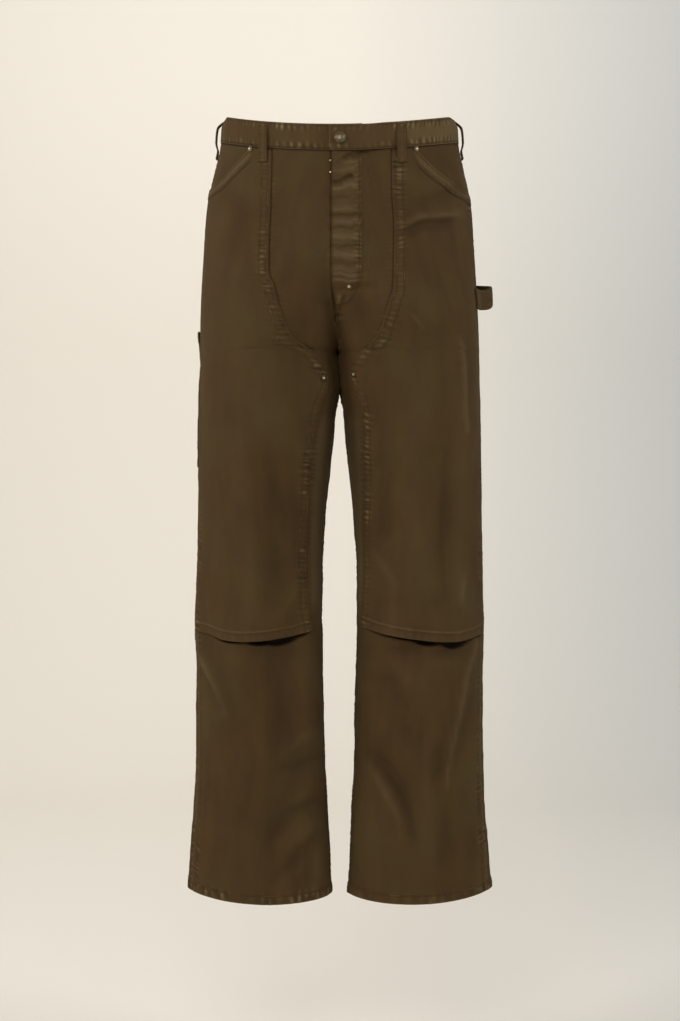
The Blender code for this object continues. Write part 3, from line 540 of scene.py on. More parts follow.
def end_angle(centre, half, depth, power, lift):
    """Angle at which a half's ring meets the centre seam or the inseam."""
    gap = SEAM_GAP / 2
    inseam = math.pi - np.arcsin((gap / (depth + lift)) ** (1 / power))
    reach = np.clip((gap - centre) / (half + lift), -1, 1)
    return np.where(centre > half, inseam, np.minimum(np.arccos(reach), inseam))


def fuller(face, drop, theta, power):
    """The power of the sine, squarer on the inner front of the thighs."""
    squarer = curve(THIGH_FULLNESS, drop) * fade(np.sin(theta), 0, THIGH_FULL_START) * (face == FRONT)
    return np.where(theta > math.pi / 2, power - squarer, power)


def ring_runs(side, face, drop):
    """Distance round a ring, in millimetres, at even steps of its angle; the last is the whole ring."""
    centre, half, depth, power = oval(side, face, drop)
    theta = end_angle(centre, half, depth, power, 0.0)[..., None] * np.linspace(0, 1, RING_STEPS + 1)
    xs = half[..., None] * np.cos(theta)
    ys = depth[..., None] * np.sin(theta) ** power[..., None]
    steps = np.hypot(np.diff(xs), np.diff(ys))
    return np.concatenate([np.zeros(drop.shape + (1,)), np.cumsum(steps, axis=-1)], axis=-1)


GIRTH_STEP = 2.0
every_drop = np.arange(0.0, 1061.0, GIRTH_STEP)
GIRTHS = {face: ring_runs(LEFT, face, every_drop)[:, -1] for face in (FRONT, BACK)}
# Where the creases end: at the centre seam, and below it ever further round to the inseam
SEAM_RUNS = {}
for face in (FRONT, BACK):
    at_crotch = np.interp(CROTCH_START, every_drop, GIRTHS[face])
    beyond = np.maximum(GIRTHS[face] - at_crotch, 0) * (1 - fade(every_drop, CROTCH_START, CREASE_SEAM_END))
    SEAM_RUNS[face] = GIRTHS[face] - np.where(every_drop > CROTCH_START, beyond, 0)


def girth(face, drop):
    """Length of a half's ring in millimetres."""
    return np.interp(drop, every_drop, GIRTHS[face])


def place(side, face, share, drop, lift=0.0):
    """World points in metres of a layer: share 0 is the widest line, 1 the centre seam or inseam."""
    share, drop, lift = np.broadcast_arrays(*(np.asarray(v, float) for v in (share, drop, lift)))
    centre, half, depth, power = oval(side, face, drop)
    behind = np.clip(-lift, 0, CLOTH)
    lift = lift + slack(side, face, share, drop)
    run = ring_runs(side, face, drop)
    run = run / run[..., -1:]
    k = np.clip((run <= share[..., None]).sum(axis=-1) - 1, 0, RING_STEPS - 1)[..., None]
    low = np.take_along_axis(run, k, -1)[..., 0]
    high = np.take_along_axis(run, k + 1, -1)[..., 0]
    turned = (k[..., 0] + (share - low) / (high - low)) / RING_STEPS
    theta = end_angle(centre, half, depth, power, lift) * np.clip(turned, 0, 1)
    x = centre + (half + lift) * np.cos(theta)
    y = face * (depth + lift) * np.sin(theta) ** fuller(face, drop, theta, power)
    touch = SEAM_GAP / 2 + behind + side * TOUCH_WAVE * np.sin(2 * math.pi * y / TOUCH_LENGTH)
    x = np.where(centre > half, np.maximum(x, touch), x)
    x, y, z = hang(side * x, y, drop, depth)
    return np.stack([x, y, z], axis=-1) * MM


def place_back(side, share, drop, lift=0.0):
    """The back panel's layer: a share under 0 reaches round the side to the front."""
    ahead = place(side, FRONT, np.maximum(-share, 0), drop, lift)
    behind = place(side, BACK, np.maximum(share, 0), drop, lift)
    return np.where((share < 0)[..., None], ahead, behind)


# How cloth looks where it is sewn: the turned allowance stands proud, the thread pulls a groove that is
# darkened with painted shade, and the cloth between the rows has shrunk into short puckers that wear lighter
# on their tops, with painted shade in the hollows between them
FELL_RISE = 0.7
FELL_WIDTH = 10.0
FELL_ROWS = (2.5, 8.5)
SIDE_ROW = 9.0
GROOVE_DEPTH = 0.3
GROOVE_HALF = 1.1
EDGE_ROUND = 0.8
PUCKER_WAVE = 6.8
PUCKER_HEIGHT = 0.6
PUCKER_REACH = 7.0
PUCKER_SLANT = 0.35
# Spacings in waves: of the slant, the drift, the puckered stretches and the chance heights along and across
PUCKER_SPACINGS = (9.0, 2.1, 4.3, 0.42, 1.6)
PUCKER_DRIFT = 3.4
PUCKER_QUIET = 0.25
PUCKER_WAVE_PART = 0.62
PUCKER_CHANCE_PART = 0.75
PUCKER_WEAR_AND_SHADE = 0.85
GROOVE_SHADE = 0.45
EDGE_WEAR_AND_LIGHT_WIDTH = 1.6
# Crease tone: crests rubbed paler, troughs darkened with painted shade
FOLD_RUB_AND_SHADE = 0.075
FOLD_SHARPNESS = 9.0
FOLD_WEAR_AND_SHADE_LIMITS = (-0.42, 0.26)
HEM_ROW = 11.5


def puckers(distance, along, seed, wave, reach, middle):
    """Short uneven ridges across a seam, from about -1 to 1, in stretches with gaps between them."""
    slant_every, drift_every, stretch_every, chance_every, chance_across = (k * wave for k in PUCKER_SPACINGS)
    slanted_along = along + PUCKER_SLANT * distance * swell(along / slant_every, 5.5 + 0 * along, seed)
    drift = PUCKER_DRIFT * swell(along / drift_every, 0.5 + 0 * along, seed)
    size = np.clip(0.30 + 1.1 * swell(along / stretch_every, 7.5 + 0 * along, seed), 0, 1)
    ridge = np.sin(2 * math.pi * slanted_along / wave + drift)
    chance = swell(slanted_along / chance_every, distance / chance_across, seed + 1)
    uneven = PUCKER_WAVE_PART * ridge + PUCKER_CHANCE_PART * chance
    return (PUCKER_QUIET + (1 - PUCKER_QUIET) * size) * uneven * mound(distance - middle, reach)


def sewn(distance, along, seed, rise=FELL_RISE, width=FELL_WIDTH, rows=FELL_ROWS, height=PUCKER_HEIGHT,
         wave=PUCKER_WAVE, reach=PUCKER_REACH, edge=True, edge_wear_and_painted_light=0.4, band_wear=0.0):
    """Lift, and wear with painted light and shade, beside a seam: distance is measured from the piece's own
    edge, in millimetres.
    """
    ridge = puckers(distance, along, seed, wave, reach, 0.5 * width)
    inside = 1 - fade(distance, width - 1.0, width + 1.0)
    lift = rise * inside + height * ridge
    # Pucker tops are rubbed paler, and their hollows are darkened with painted shade
    wear_and_painted_light = PUCKER_WEAR_AND_SHADE * min(1.0, height / PUCKER_HEIGHT) * ridge + band_wear * inside
    for row in rows:
        pull = mound(distance - row, GROOVE_HALF)
        lift = lift - GROOVE_DEPTH * pull
        # Painted shade in the groove that the thread pulls
        wear_and_painted_light = wear_and_painted_light - GROOVE_SHADE * pull
    if edge:
        close = np.clip(1 - distance / EDGE_ROUND, 0, 1)
        lift = lift - 0.5 * CLOTH * (1 - np.sqrt(1 - close ** 2))
        # Folded edge: a positive value makes it paler, rubbed with painted highlight; a negative one darkens
        # it with painted shade
        wear_and_painted_light = wear_and_painted_light + edge_wear_and_painted_light * mound(distance, EDGE_WEAR_AND_LIGHT_WIDTH)
    return lift, wear_and_painted_light


def hemmed(from_hem, along, seed):
    """Lift, and wear with painted shade, of a leg's turned hem with its one row of stitching."""
    return sewn(from_hem, along, seed, rise=0.8, width=HEM_TURN, rows=(HEM_ROW,), height=0.75, wave=8.0,
                reach=7.5)


def by_side_seam(from_seam, along, seed):
    """Lift, and wear with painted shade, of a front layer beside the side seam: flat, with the row that holds
    the allowance.
    """
    return sewn(from_seam, along, seed, rise=0, rows=(SIDE_ROW,), width=2 * SIDE_ROW, height=0.5, reach=5.0)


def seam_shadow(drop):
    """The dark line where a piece goes up under the waistband."""
    return 0.0, -1.2 * mound(drop - WAIST_SEAM_DROP, 1.8)


# Beside the fly on the wearer's right front: painted shade, distance from the centre, half width and drops
FLY_CRACK_SHADE = -0.8
FLY_CRACK_WIDTH = 2.2
FLY_CRACK_END = (262.0, 300.0)
FLY_TROUGH_SHADE = -0.3
FLY_TROUGH_AT = 13.0
FLY_TROUGH_WIDTH = 9.0
FLY_TROUGH_START = (180.0, 240.0)
FLY_TROUGH_END = (318.0, 350.0)


def beside_fly(distance, drop):
    """Painted shade: the dark crack where the fly laps over the wearer's right front, and the dim trough
    beside it.
    """
    crack = FLY_CRACK_SHADE * mound(distance, FLY_CRACK_WIDTH) * (1 - fade(drop, *FLY_CRACK_END))
    there = fade(drop, *FLY_TROUGH_START) * (1 - fade(drop, *FLY_TROUGH_END))
    return 0.0, crack + FLY_TROUGH_SHADE * mound(distance - FLY_TROUGH_AT, FLY_TROUGH_WIDTH) * there


def fold_wear_and_shade(side, face, share, drop):
    """Crease tone: rubbing makes the crests paler, and painted shade darkens the troughs."""
    rub = FOLD_RUB_AND_SHADE * crease_depth(side, face, share, drop, FOLD_SHARPNESS)
    return 0.0, np.clip(rub, *FOLD_WEAR_AND_SHADE_LIMITS)


def both(*parts):
    """Add up lifts, and wears with their painted light and shade."""
    return sum(p[0] for p in parts), sum(p[1] for p in parts)


def weighed(part, weight):
    """A seam's lift, and its wear with painted shade, where the seam is there."""
    return part[0] * weight, part[1] * weight


# Inner edge of the double front: share of the way from the side to the centre seam or the inseam
DOUBLE_EDGE = {
    RIGHT: (
        # drop, share
        (38, 0.635), (109, 0.665), (221, 0.685), (234, 0.708), (266, 0.718), (290, 0.713), (307, 0.702),
        (324, 0.703), (341, 0.753), (357, 0.792), (397, 0.758), (450, 0.738), (515, 0.758), (581, 0.785),
        (647, 0.80), (693, 0.823), (1034, 0.823),
    ),
    LEFT: (
        # drop, share
        (38, 0.638), (109, 0.665), (154, 0.667), (203, 0.682), (243, 0.70), (256, 0.72), (282, 0.743),
        (303, 0.742), (319, 0.738), (331, 0.752), (351, 0.815), (397, 0.758), (449, 0.77), (515, 0.807),
        (594, 0.853), (682, 0.895), (1034, 0.895),
    ),
}


def double_edge(side, drop):
    """Share of the double front's inner edge at a drop: a smooth line on the unrolled cloth."""
    unrolled = [(at, share * girth(FRONT, at)) for at, share in DOUBLE_EDGE[side]]
    return curve(unrolled, drop) / girth(FRONT, drop)


# Pocket mouth: drop at each share of the double front's width
POCKET_MOUTH = {
    RIGHT: ((0.0, 99.0), (0.12, 95.0), (0.34, 83.0), (0.48, 67.0), (0.59, 54.0), (0.74, 36.6)),
    LEFT: ((0.0, 107.0), (0.207, 96.0), (0.345, 85.0), (0.482, 72.0), (0.62, 55.0), (0.74, 36.6)),
}
MOUTH_END = 0.74
MOUTH_BAND = 13.0
# The double front's open lower edge, and the hollows of the lower layer under it
KNEE_HEM_DROP = 690.0
KNEE_EDGE = {
    RIGHT: (
        # share of the width, how far the lower edge hangs below its drop
        (0.0, -1.0), (0.19, 2.0), (0.318, 8.0), (0.45, 10.0), (0.58, 9.0), (0.75, 5.0), (0.92, 0.0),
        (1.0, -3.0),
    ),
    LEFT: (
        # share of the width, how far the lower edge hangs below its drop
        (0.0, 2.0), (0.07, 4.0), (0.19, 8.0), (0.29, 10.5), (0.41, 10.0), (0.56, 7.0), (0.75, 1.0),
        (1.0, -8.0),
    ),
}
KNEE_SINK = 11.0
# Rubbing of the strip on the inner thigh beside the double front
INNER_RUB = 0.3
INNER_RUB_START = (380.0, 420.0)
INNER_RUB_END = (640.0, 690.0)
# Where the centre seam of a front starts, under the fly on the wearer's right and past it on the left
CENTRE_SEAM_START = {RIGHT: (318.0, 330.0), LEFT: (262.0, 270.0)}
# The painted shade beside the double front's inner edge: its unevenness, the drops where it changes, how dark
# it is on the panel and on the double front
EDGE_DARK_SPACING = 31.0
EDGE_DARK_HIP = (262.0, 300.0)
EDGE_DARK_THIGH = (380.0, 430.0)
EDGE_DARK_END = (690.0, 705.0)
PANEL_EDGE_SHADE = -0.55
DOUBLE_EDGE_SHADE = -0.35
# The hollows under the knee's open edge start this far above it and end this far before the inner edge
HOLLOW_START = (-16.0, -6.0)
HOLLOW_INNER_END = (0.0, 6.0)
# Painted shade that darkens the hollows under the knee's open edge towards near black
HOLLOW_SHADE = -2.0
KNEE_HOLLOWS = {
    RIGHT: (
        # share of the width, half width, how far it shows below the edge in millimetres, size
        (0.33, 0.10, 3.0, 0.8), (0.60, 0.10, 7.0, 0.9), (0.76, 0.15, 12.0, 1.0), (0.90, 0.10, 5.0, 0.8),
    ),
    LEFT: (
        # share of the width, half width, how far it shows below the edge in millimetres, size
        (0.27, 0.12, 11.0, 1.0), (0.49, 0.09, 7.5, 0.9), (0.70, 0.20, 2.6, 0.8), (0.06, 0.05, 2.2, 0.7),
    ),
}
# Column places in millimetres from an edge, closest where the seam needs them
BY_SEAM = (0.0, 0.25, 0.7, 1.4, 2.5, 3.8, 5.5, 7.3, 8.4, 9.3, 11.0, 14.5)
UNDER_DOUBLE = (10.0, 4.0, 0.0)
BESIDE_DOUBLE = (2.5, 6.0)
BY_HEM = (15.5, 14.2, 13.2, 12.4, 11.5, 10.6, 8.5, 6.5, 4.5, 2.5, 1.2, 0.6, 0.2, 0.0)
ROW_STEP = 2.1
KNEE_FINE_ROWS = (684.0, 711.0, 0.95)
SLANTED_END = 136.0
SLANTED_ROWS = 46


def columns(total, near, middle, far):
    """Column places across each row: near one edge, evenly between, near the other edge."""
    total = np.asarray(total, float)[:, None]
    first = np.tile(near, (len(total), 1))
    start, end = first[:, -1:], total - far[0]
    between = start + (end - start) * (np.arange(1, middle) / middle)
    return np.concatenate([first, between, total - np.array(far)], axis=1)


def panel_rows(bottom):
    """Drops of a panel's rows below the slanted part, close together at the hem."""
    count = int((bottom - BY_HEM[0] - SLANTED_END) / ROW_STEP)
    even = np.linspace(SLANTED_END, bottom - BY_HEM[0], count + 1)[:-1]
    by_knee = np.arange(*KNEE_FINE_ROWS)
    even = np.sort(np.concatenate([even[(even < by_knee[0]) | (even > by_knee[-1])], by_knee]))
    return np.concatenate([even, bottom - np.array(BY_HEM)])


def slanted(top, rows):
    """Drops of every point: slanted rows from the top edge down, then the even rows."""
    steps = np.linspace(0, 1, SLANTED_ROWS + 1)[:-1, None]
    upper = top[None, :] + (SLANTED_END - top[None, :]) * steps
    return np.concatenate([upper, np.tile(rows[:, None], (1, len(top)))])


def edge_line(side, drop):
    """The double front's inner edge: its distance round from the side, and how far its slope lengthens it."""
    before, here, after = (double_edge(side, at) * girth(FRONT, at) for at in (drop - 2, drop, drop + 2))
    return here, np.sqrt(1 + ((after - before) / 4) ** 2)


def from_edge(side, share, drop):
    """Distance in millimetres from the double front's inner edge, measured towards the side."""
    line, longer = edge_line(side, drop)
    return (line - share * girth(FRONT, drop)) / longer


def edge_shade(side, drop):
    """How dark the painted shade beside the double front's inner edge is: uneven, and faint below the hip."""
    chance = swell(drop / EDGE_DARK_SPACING, 2.5 + 0 * drop, seed_of(side, FRONT, 40))
    below_hip = 0.75 * fade(drop, *EDGE_DARK_HIP) * (1 - 0.6 * fade(drop, *EDGE_DARK_THIGH))
    return np.clip(0.6 + 0.6 * chance, 0.1, 1) * (1 - below_hip) * (1 - fade(drop, *EDGE_DARK_END))


def width_part(side, share, drop):
    """Share of the double front's own width at a share of the way round."""
    return np.clip((share - FRONT_START) / (double_edge(side, drop) - FRONT_START), 0, 1)


def share_at(side, part, drop):
    """Share of the way round at a share of the double front's own width."""
    return FRONT_START + part * (double_edge(side, drop) - FRONT_START)


def knee_hollow(side, share, drop):
    """Where the lower layer is pushed in under the double front's open edge, from 0 to 1."""
    part = width_part(side, share, drop)
    below = drop - KNEE_HEM_DROP - curve(KNEE_EDGE[side], part)
    total = 0.0 * share
    for at, half_width, reach, size in KNEE_HOLLOWS[side]:
        there = np.exp(-np.abs((part - at) / half_width) ** 3)
        total = np.maximum(total, size * there * (1 - fade(below, 0.4 * reach * there, reach * there + 1.0)))
    return total * fade(below, *HOLLOW_START) * fade(from_edge(side, share, drop), *HOLLOW_INNER_END)


def front_face(side, share, drop):
    """Lift, and wear with painted light and shade, of a front panel's outer face."""
    round_it = girth(FRONT, drop)
    past_edge = -from_edge(side, share, drop)
    hollow = knee_hollow(side, share, drop)
    return both(
        by_side_seam((share - SIDE_SEAM) * round_it, drop, seed_of(side, FRONT, 1)),
        weighed(sewn((1 - share) * round_it, drop, seed_of(side, FRONT, 2)),
                fade(drop, *CENTRE_SEAM_START[side])),
        hemmed(HEM_DROP - drop, share * round_it, seed_of(side, FRONT, 3)),
        weighed(sewn(past_edge, drop, seed_of(side, FRONT, 4), rise=0, rows=(), width=0, height=0.25,
                     edge=False), fade(drop, 60, 80) * (1 - fade(drop, 660, 690))),
        # Painted shade: a dark line on the panel beside the double front's inner edge
        (0.0, PANEL_EDGE_SHADE * edge_shade(side, drop) * mound(past_edge, 1.1)),
        (0.0, INNER_RUB * fade(past_edge, 3, 9) * fade(drop, *INNER_RUB_START)
         * (1 - fade(drop, *INNER_RUB_END))),
        seam_shadow(drop),
        # The hollow under the knee's open edge is sunk, and darkened with painted shade
        (-KNEE_SINK * hollow, HOLLOW_SHADE * hollow),
        fold_wear_and_shade(side, FRONT, share, drop),
        weighed(beside_fly(before_fold(FRONT, share, drop), drop), side == RIGHT),
    )


def cloth_mesh(name, outer, inner, round_mm, drop, wear_and_painted_light, material):
    """A closed thin shell between two grids of points, with its thread coordinates, and its wear with painted
    light and shade.
    """
    rows, columns_count = outer.shape[:2]
    count = rows * columns_count
    front_faces = grid_faces(rows, columns_count)
    back_faces = front_faces[:, ::-1] + count
    index = np.arange(count).reshape(rows, columns_count)
    loop = np.concatenate([index[0, :-1], index[:-1, -1], index[-1, :0:-1], index[:0:-1, 0]])
    following = np.roll(loop, -1)
    rim = np.stack([loop, following, following + count, loop + count], axis=-1)
    points = np.concatenate([outer.reshape(-1, 3), inner.reshape(-1, 3)])
    faces = np.concatenate([front_faces, back_faces, rim])
    middle = outer[rows // 2, columns_count // 2] - inner[rows // 2, columns_count // 2]
    quad = points[faces[len(front_faces) // 2]]
    if np.dot(np.cross(quad[1] - quad[0], quad[2] - quad[1]), middle) < 0:
        faces = faces[:, ::-1]
    made = mesh_object(name, points, faces, material)
    threads = np.stack(np.broadcast_arrays(round_mm, drop), axis=-1).reshape(-1, 2) * MM
    corners = np.zeros(len(made.data.loops), int)
    made.data.loops.foreach_get("vertex_index", corners)
    layer = made.data.uv_layers.new(name="threads")
    layer.uv.foreach_set("vector", np.concatenate([threads, threads])[corners].astype(np.float32).ravel())
    # The wear values: positive is rubbed paler, partly painted highlight; negative is painted shade
    worn = made.data.attributes.new("wear_and_painted_light", "FLOAT", "POINT")
    wear_and_painted_light = np.clip(np.broadcast_to(wear_and_painted_light, (rows, columns_count)), -1, 1).ravel()
    worn.data.foreach_set("value", np.concatenate([wear_and_painted_light, 0 * wear_and_painted_light]).astype(np.float32))
    return made


# Painted shade: the near black of the cracks beside seams and under open edges, where no light reaches; and
# the bloom of the nap
CRACK_SHADE = "#161009"
BLOOM = "#A08A58"


def brushed_cotton(name, base, deep, olive, worn):
    """Heavy cotton in a plain weave, dyed in the garment and brushed, so it has a short nap over its threads.

    The eye sees a matt brown that drifts to olive, a soft bloom where the nap is seen from the side, and
    lighter worn ridges. Its colour also carries painted light: a painted highlight on some raised edges, and
    painted shade that darkens grooves, crease troughs and cracks towards near black. The real threads are
    0.45 mm apart; they are drawn 0.9 mm apart so that they show.
    """
    thread_spacing = 0.0009
    band_scale = math.pi / 10 / thread_spacing
    material, tree = new_material(name)
    coordinates = add_node(tree, "ShaderNodeUVMap", uv_map="threads").outputs["UV"]
    warp, weft = (add_node(tree, "ShaderNodeTexWave", {"Vector": coordinates, "Scale": band_scale,
                                                       "Distortion": 0.8, "Detail": 1.0, "Detail Scale": 0.3},
                           bands_direction=direction).outputs["Fac"] for direction in "XY")
    weave = add_node(tree, "ShaderNodeMath", {0: warp, 1: weft}, operation="MULTIPLY").outputs[0]
    nap = add_node(tree, "ShaderNodeTexNoise", {"Vector": coordinates, "Scale": 700.0, "Detail": 3.0,
                                                "Roughness": 0.65}).outputs["Fac"]
    streaks = add_node(tree, "ShaderNodeMapping", {"Vector": coordinates, "Scale": (1.0, 0.3, 1.0)})
    cloud = add_node(tree, "ShaderNodeTexNoise", {"Vector": streaks.outputs["Vector"], "Scale": 34.0,
                                                  "Detail": 6.0, "Roughness": 0.55}).outputs["Fac"]
    drift = add_node(tree, "ShaderNodeTexNoise", {"Vector": coordinates, "Scale": 9.0,
                                                  "Detail": 3.0}).outputs["Fac"]
    wear_and_painted_light = add_node(tree, "ShaderNodeAttribute", attribute_name="wear_and_painted_light").outputs["Fac"]
    relief = add_node(tree, "ShaderNodeMath", {0: weave, 1: 0.6, 2: nap}, operation="MULTIPLY_ADD")
    bump = add_node(tree, "ShaderNodeBump", {"Height": relief.outputs[0], "Strength": 0.7,
                                             "Distance": 0.00035})
    colour = mixed(tree, spread(tree, cloud, 0.05, 0.8), linear(deep), linear(base))
    colour = mixed(tree, spread(tree, drift, 0.42, 0.7, 0.0, 0.5), colour, linear(olive))
    # Painted shade: negative values darken towards the deep colour, then to near black in cracks
    colour = mixed(tree, spread(tree, wear_and_painted_light, 0.0, -0.7, 0.0, 0.8), colour, linear(deep))
    colour = mixed(tree, spread(tree, wear_and_painted_light, -0.55, -1.0, 0.0, 0.85), colour, linear(CRACK_SHADE))
    # Positive values: rubbed paler, partly painted highlight on raised edges
    colour = mixed(tree, spread(tree, wear_and_painted_light, 0.0, 0.5, 0.0, 0.28), colour, linear(worn))
    rubbed = add_node(tree, "ShaderNodeMath", {0: wear_and_painted_light, 1: nap}, operation="MULTIPLY").outputs[0]
    colour = mixed(tree, spread(tree, rubbed, 0.08, 0.5, 0.0, 0.8), colour, linear(worn))
    shader = add_node(tree, "ShaderNodeBsdfPrincipled", {
        "Base Color": colour, "Roughness": 0.88, "IOR": 1.46, "Specular IOR Level": 0.16,
        "Normal": bump.outputs["Normal"], "Sheen Weight": 0.10, "Sheen Roughness": 0.4,
        "Sheen Tint": linear(BLOOM),
    })
    add_node(tree, "ShaderNodeOutputMaterial", {"Surface": shader.outputs["BSDF"]})
    return material


body_cotton = brushed_cotton("brushed_brown_cotton", "#4A371D", "#342413", "#473C21", "#6C5B40")
FRONT_MIDDLE = 32
BESIDE_MIDDLE = 6
HEM_CLOTH_ROWS = panel_rows(HEM_DROP)


def front_columns(side, rows):
    """Shares of a front panel's columns at each row: under the double front, then beside it."""
    edge, round_it = double_edge(side, rows), girth(FRONT, rows)
    under = columns((edge - FRONT_START) * round_it, BY_SEAM, FRONT_MIDDLE, UNDER_DOUBLE)
    beside = columns((1 - edge) * round_it, BESIDE_DOUBLE, BESIDE_MIDDLE, BY_SEAM[::-1])
    round_it = round_it[:, None]
    return np.concatenate([FRONT_START + under / round_it, edge[:, None] + beside / round_it], axis=1)


def front_panel(side, name):
    """A whole front panel, cut away under the pocket mouth."""
    upper = np.linspace(WAIST_SEAM_DROP, SLANTED_END, SLANTED_ROWS + 1)[:-1]
    share = front_columns(side, np.concatenate([upper, HEM_CLOTH_ROWS]))
    part = (share[0] - FRONT_START) / (double_edge(side, upper[0]) - FRONT_START)
    cut = curve(POCKET_MOUTH[side], np.minimum(part, MOUTH_END)) + MOUTH_BAND
    top = np.where(part <= MOUTH_END, cut, WAIST_SEAM_DROP)
    drop = slanted(top, HEM_CLOTH_ROWS)
    lift, wear_and_painted_light = front_face(side, share, drop)
    outer = place(side, FRONT, share, drop, lift)
    inner = place(side, FRONT, share, drop, -CLOTH - KNEE_SINK * knee_hollow(side, share, drop))
    return cloth_mesh(name, outer, inner, side * share * girth(FRONT, drop), drop, wear_and_painted_light, body_cotton)


for side, word in ((RIGHT, "right"), (LEFT, "left")):
    piece = front_panel(side, f"front_{word}_cloth")
    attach(piece, "root")
    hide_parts(f"front_{word}_panel")

# Back panels: one piece for each leg and half of the seat, which reaches round to the side seam in front.
# They are joined to each other down the seat and to the fronts at the side and inside leg, all felled.
BACK_MIDDLE = 20


def back_face(side, share, drop):
    """Lift, and wear with painted shade, of a back panel's outer face."""
    ahead = girth(FRONT, drop)
    behind = girth(BACK, drop)
    from_side = np.where(share < 0, (share + SIDE_SEAM) * ahead, SIDE_SEAM * ahead + share * behind)
    seat = 1 - fade(drop, CROTCH_DROP - 8, CROTCH_DROP + 6)
    return both(
        sewn(from_side, drop, seed_of(side, BACK, 1)),
        weighed(sewn((1 - share) * behind, drop, seed_of(side, BACK, 2)), seat * (side == LEFT)),
        weighed(sewn((1 - share) * behind, drop, seed_of(side, BACK, 4), rise=0, rows=(), height=0.3),
                1 - seat * (side == LEFT)),
        hemmed(HEM_DROP - drop, from_side, seed_of(side, BACK, 3)),
    )


def back_panel(side, name):
    """A whole back panel with its wrap round the side."""
    rows = np.concatenate([np.linspace(WAIST_SEAM_DROP, SLANTED_END, SLANTED_ROWS + 1)[:-1], HEM_CLOTH_ROWS])
    ahead, behind = girth(FRONT, rows), girth(BACK, rows)
    wrap = (SIDE_SEAM - HALF_SEAM_SHARE) * ahead
    run = columns(wrap + behind, BY_SEAM, BACK_MIDDLE, BY_SEAM[::-1]) - wrap[:, None]
    share = np.where(run < 0, run / ahead[:, None], run / behind[:, None])
    drop = np.tile(rows[:, None], (1, share.shape[1]))
    lift, wear_and_painted_light = back_face(side, share, drop)
    outer = place_back(side, share, drop, lift)
    inner = place_back(side, share, drop, -CLOTH)
    return cloth_mesh(name, outer, inner, -side * run, drop, wear_and_painted_light, body_cotton)


for side, word in ((RIGHT, "right"), (LEFT, "left")):
    piece = back_panel(side, f"back_{word}_cloth")
    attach(piece, "root")
    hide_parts(f"back_{word}_panel")

# Pocket facings: the corner of cloth above each slanted pocket mouth, part of the pocket bag's outer layer.
# The front panel starts below it, and the double front's mouth lies over it.
FACING_COLUMNS = 70
FACING_ROWS = 44
FACING_CUT_GAP = 0.5


def pocket_facing(side, name):
    """A facing from the waist seam down to just above the front panel's cut."""
    part = np.linspace(0, MOUTH_END, FACING_COLUMNS)
    low = curve(POCKET_MOUTH[side], part) + MOUTH_BAND - FACING_CUT_GAP
    drop = WAIST_SEAM_DROP + (low - WAIST_SEAM_DROP)[None, :] * np.linspace(0, 1, FACING_ROWS)[:, None]
    share = share_at(side, part[None, :], drop)
    round_mm = share * girth(FRONT, drop)
    lift, wear_and_painted_light = both(seam_shadow(drop), sewn((share - FRONT_START) * girth(FRONT, drop), drop,
                                              seed_of(side, FRONT, 5), rise=0, rows=(), height=0.25))
    outer = place(side, FRONT, share, drop, lift)
    inner = place(side, FRONT, share, drop, -CLOTH)
    return cloth_mesh(name, outer, inner, side * round_mm, drop, wear_and_painted_light, body_cotton)


for side, word in ((RIGHT, "right"), (LEFT, "left")):
    piece = pocket_facing(side, f"facing_{word}_cloth")
    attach(piece, "root")
    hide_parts(f"pocket_facing_{word}")

# Double fronts: a second layer of the same cotton over each front, from the pocket mouth and the waist seam
# to below the knee. It is twin stitched along its inner edge and hemmed at the mouth and its open lower edge.
# Where the lower edge gapes: share of the width, how far it stands off, half width of the lobe in shares
KNEE_GAPE = {
    RIGHT: ((0.45, 4.5, 0.17), (0.74, 8.0, 0.17)),
    LEFT: ((0.36, 6.5, 0.15), (0.70, 7.0, 0.17)),
}
KNEE_GAPE_RISE = 42.0
KNEE_ROWS_REACH = 60.0
KNEE_ROWS_START = (540.0, 600.0)
DOUBLE_FACE = LAYER_GAP + CLOTH
TURN_RAISE = 0.8
TWIN_EDGE_ROWS = (3.6, 12.8)
MOUTH_ROWS = (2.2, 11.0)
MOUTH_WIDTH = 132.0
KNEE_HEM_ROW = 11.5
BY_MOUTH = (0.0, 0.4, 1.2, 2.1, 3.0, 4.2, 6.5, 9.5, 12.5, 14.0, 15.0, 16.2, 17.5, 19.0)
MOUTH_ROWS_BELOW = 32
BY_DOUBLE_EDGE = (17.0, 15.6, 14.4, 13.5, 12.8, 12.1, 10.6, 8.4, 6.4, 5.0, 4.2, 3.6, 3.0, 2.2, 1.3, 0.6,
                  0.2, 0.0)
DOUBLE_MIDDLE = 34


def knee_stand(side, part, drop):
    """How far the double front stands off near its lower edge."""
    total = 0.0 * part
    for at, height, half_width in KNEE_GAPE[side]:
        total = total + height * mound(part - at, half_width)
    return total * fade(drop, KNEE_HEM_DROP - KNEE_GAPE_RISE, KNEE_HEM_DROP)


def from_mouth(side, part, drop):
    """Distance in millimetres below the pocket mouth's edge."""
    before, mouth, after = (curve(POCKET_MOUTH[side], part + step) for step in (-0.01, 0.0, 0.01))
    return (drop - mouth) / np.sqrt(1 + ((after - before) / (0.02 * MOUTH_WIDTH)) ** 2)


def hem_shadow(distance):
    """The dark line where a raised hem ends."""
    return 0.0, -0.8 * mound(distance, 1.3)


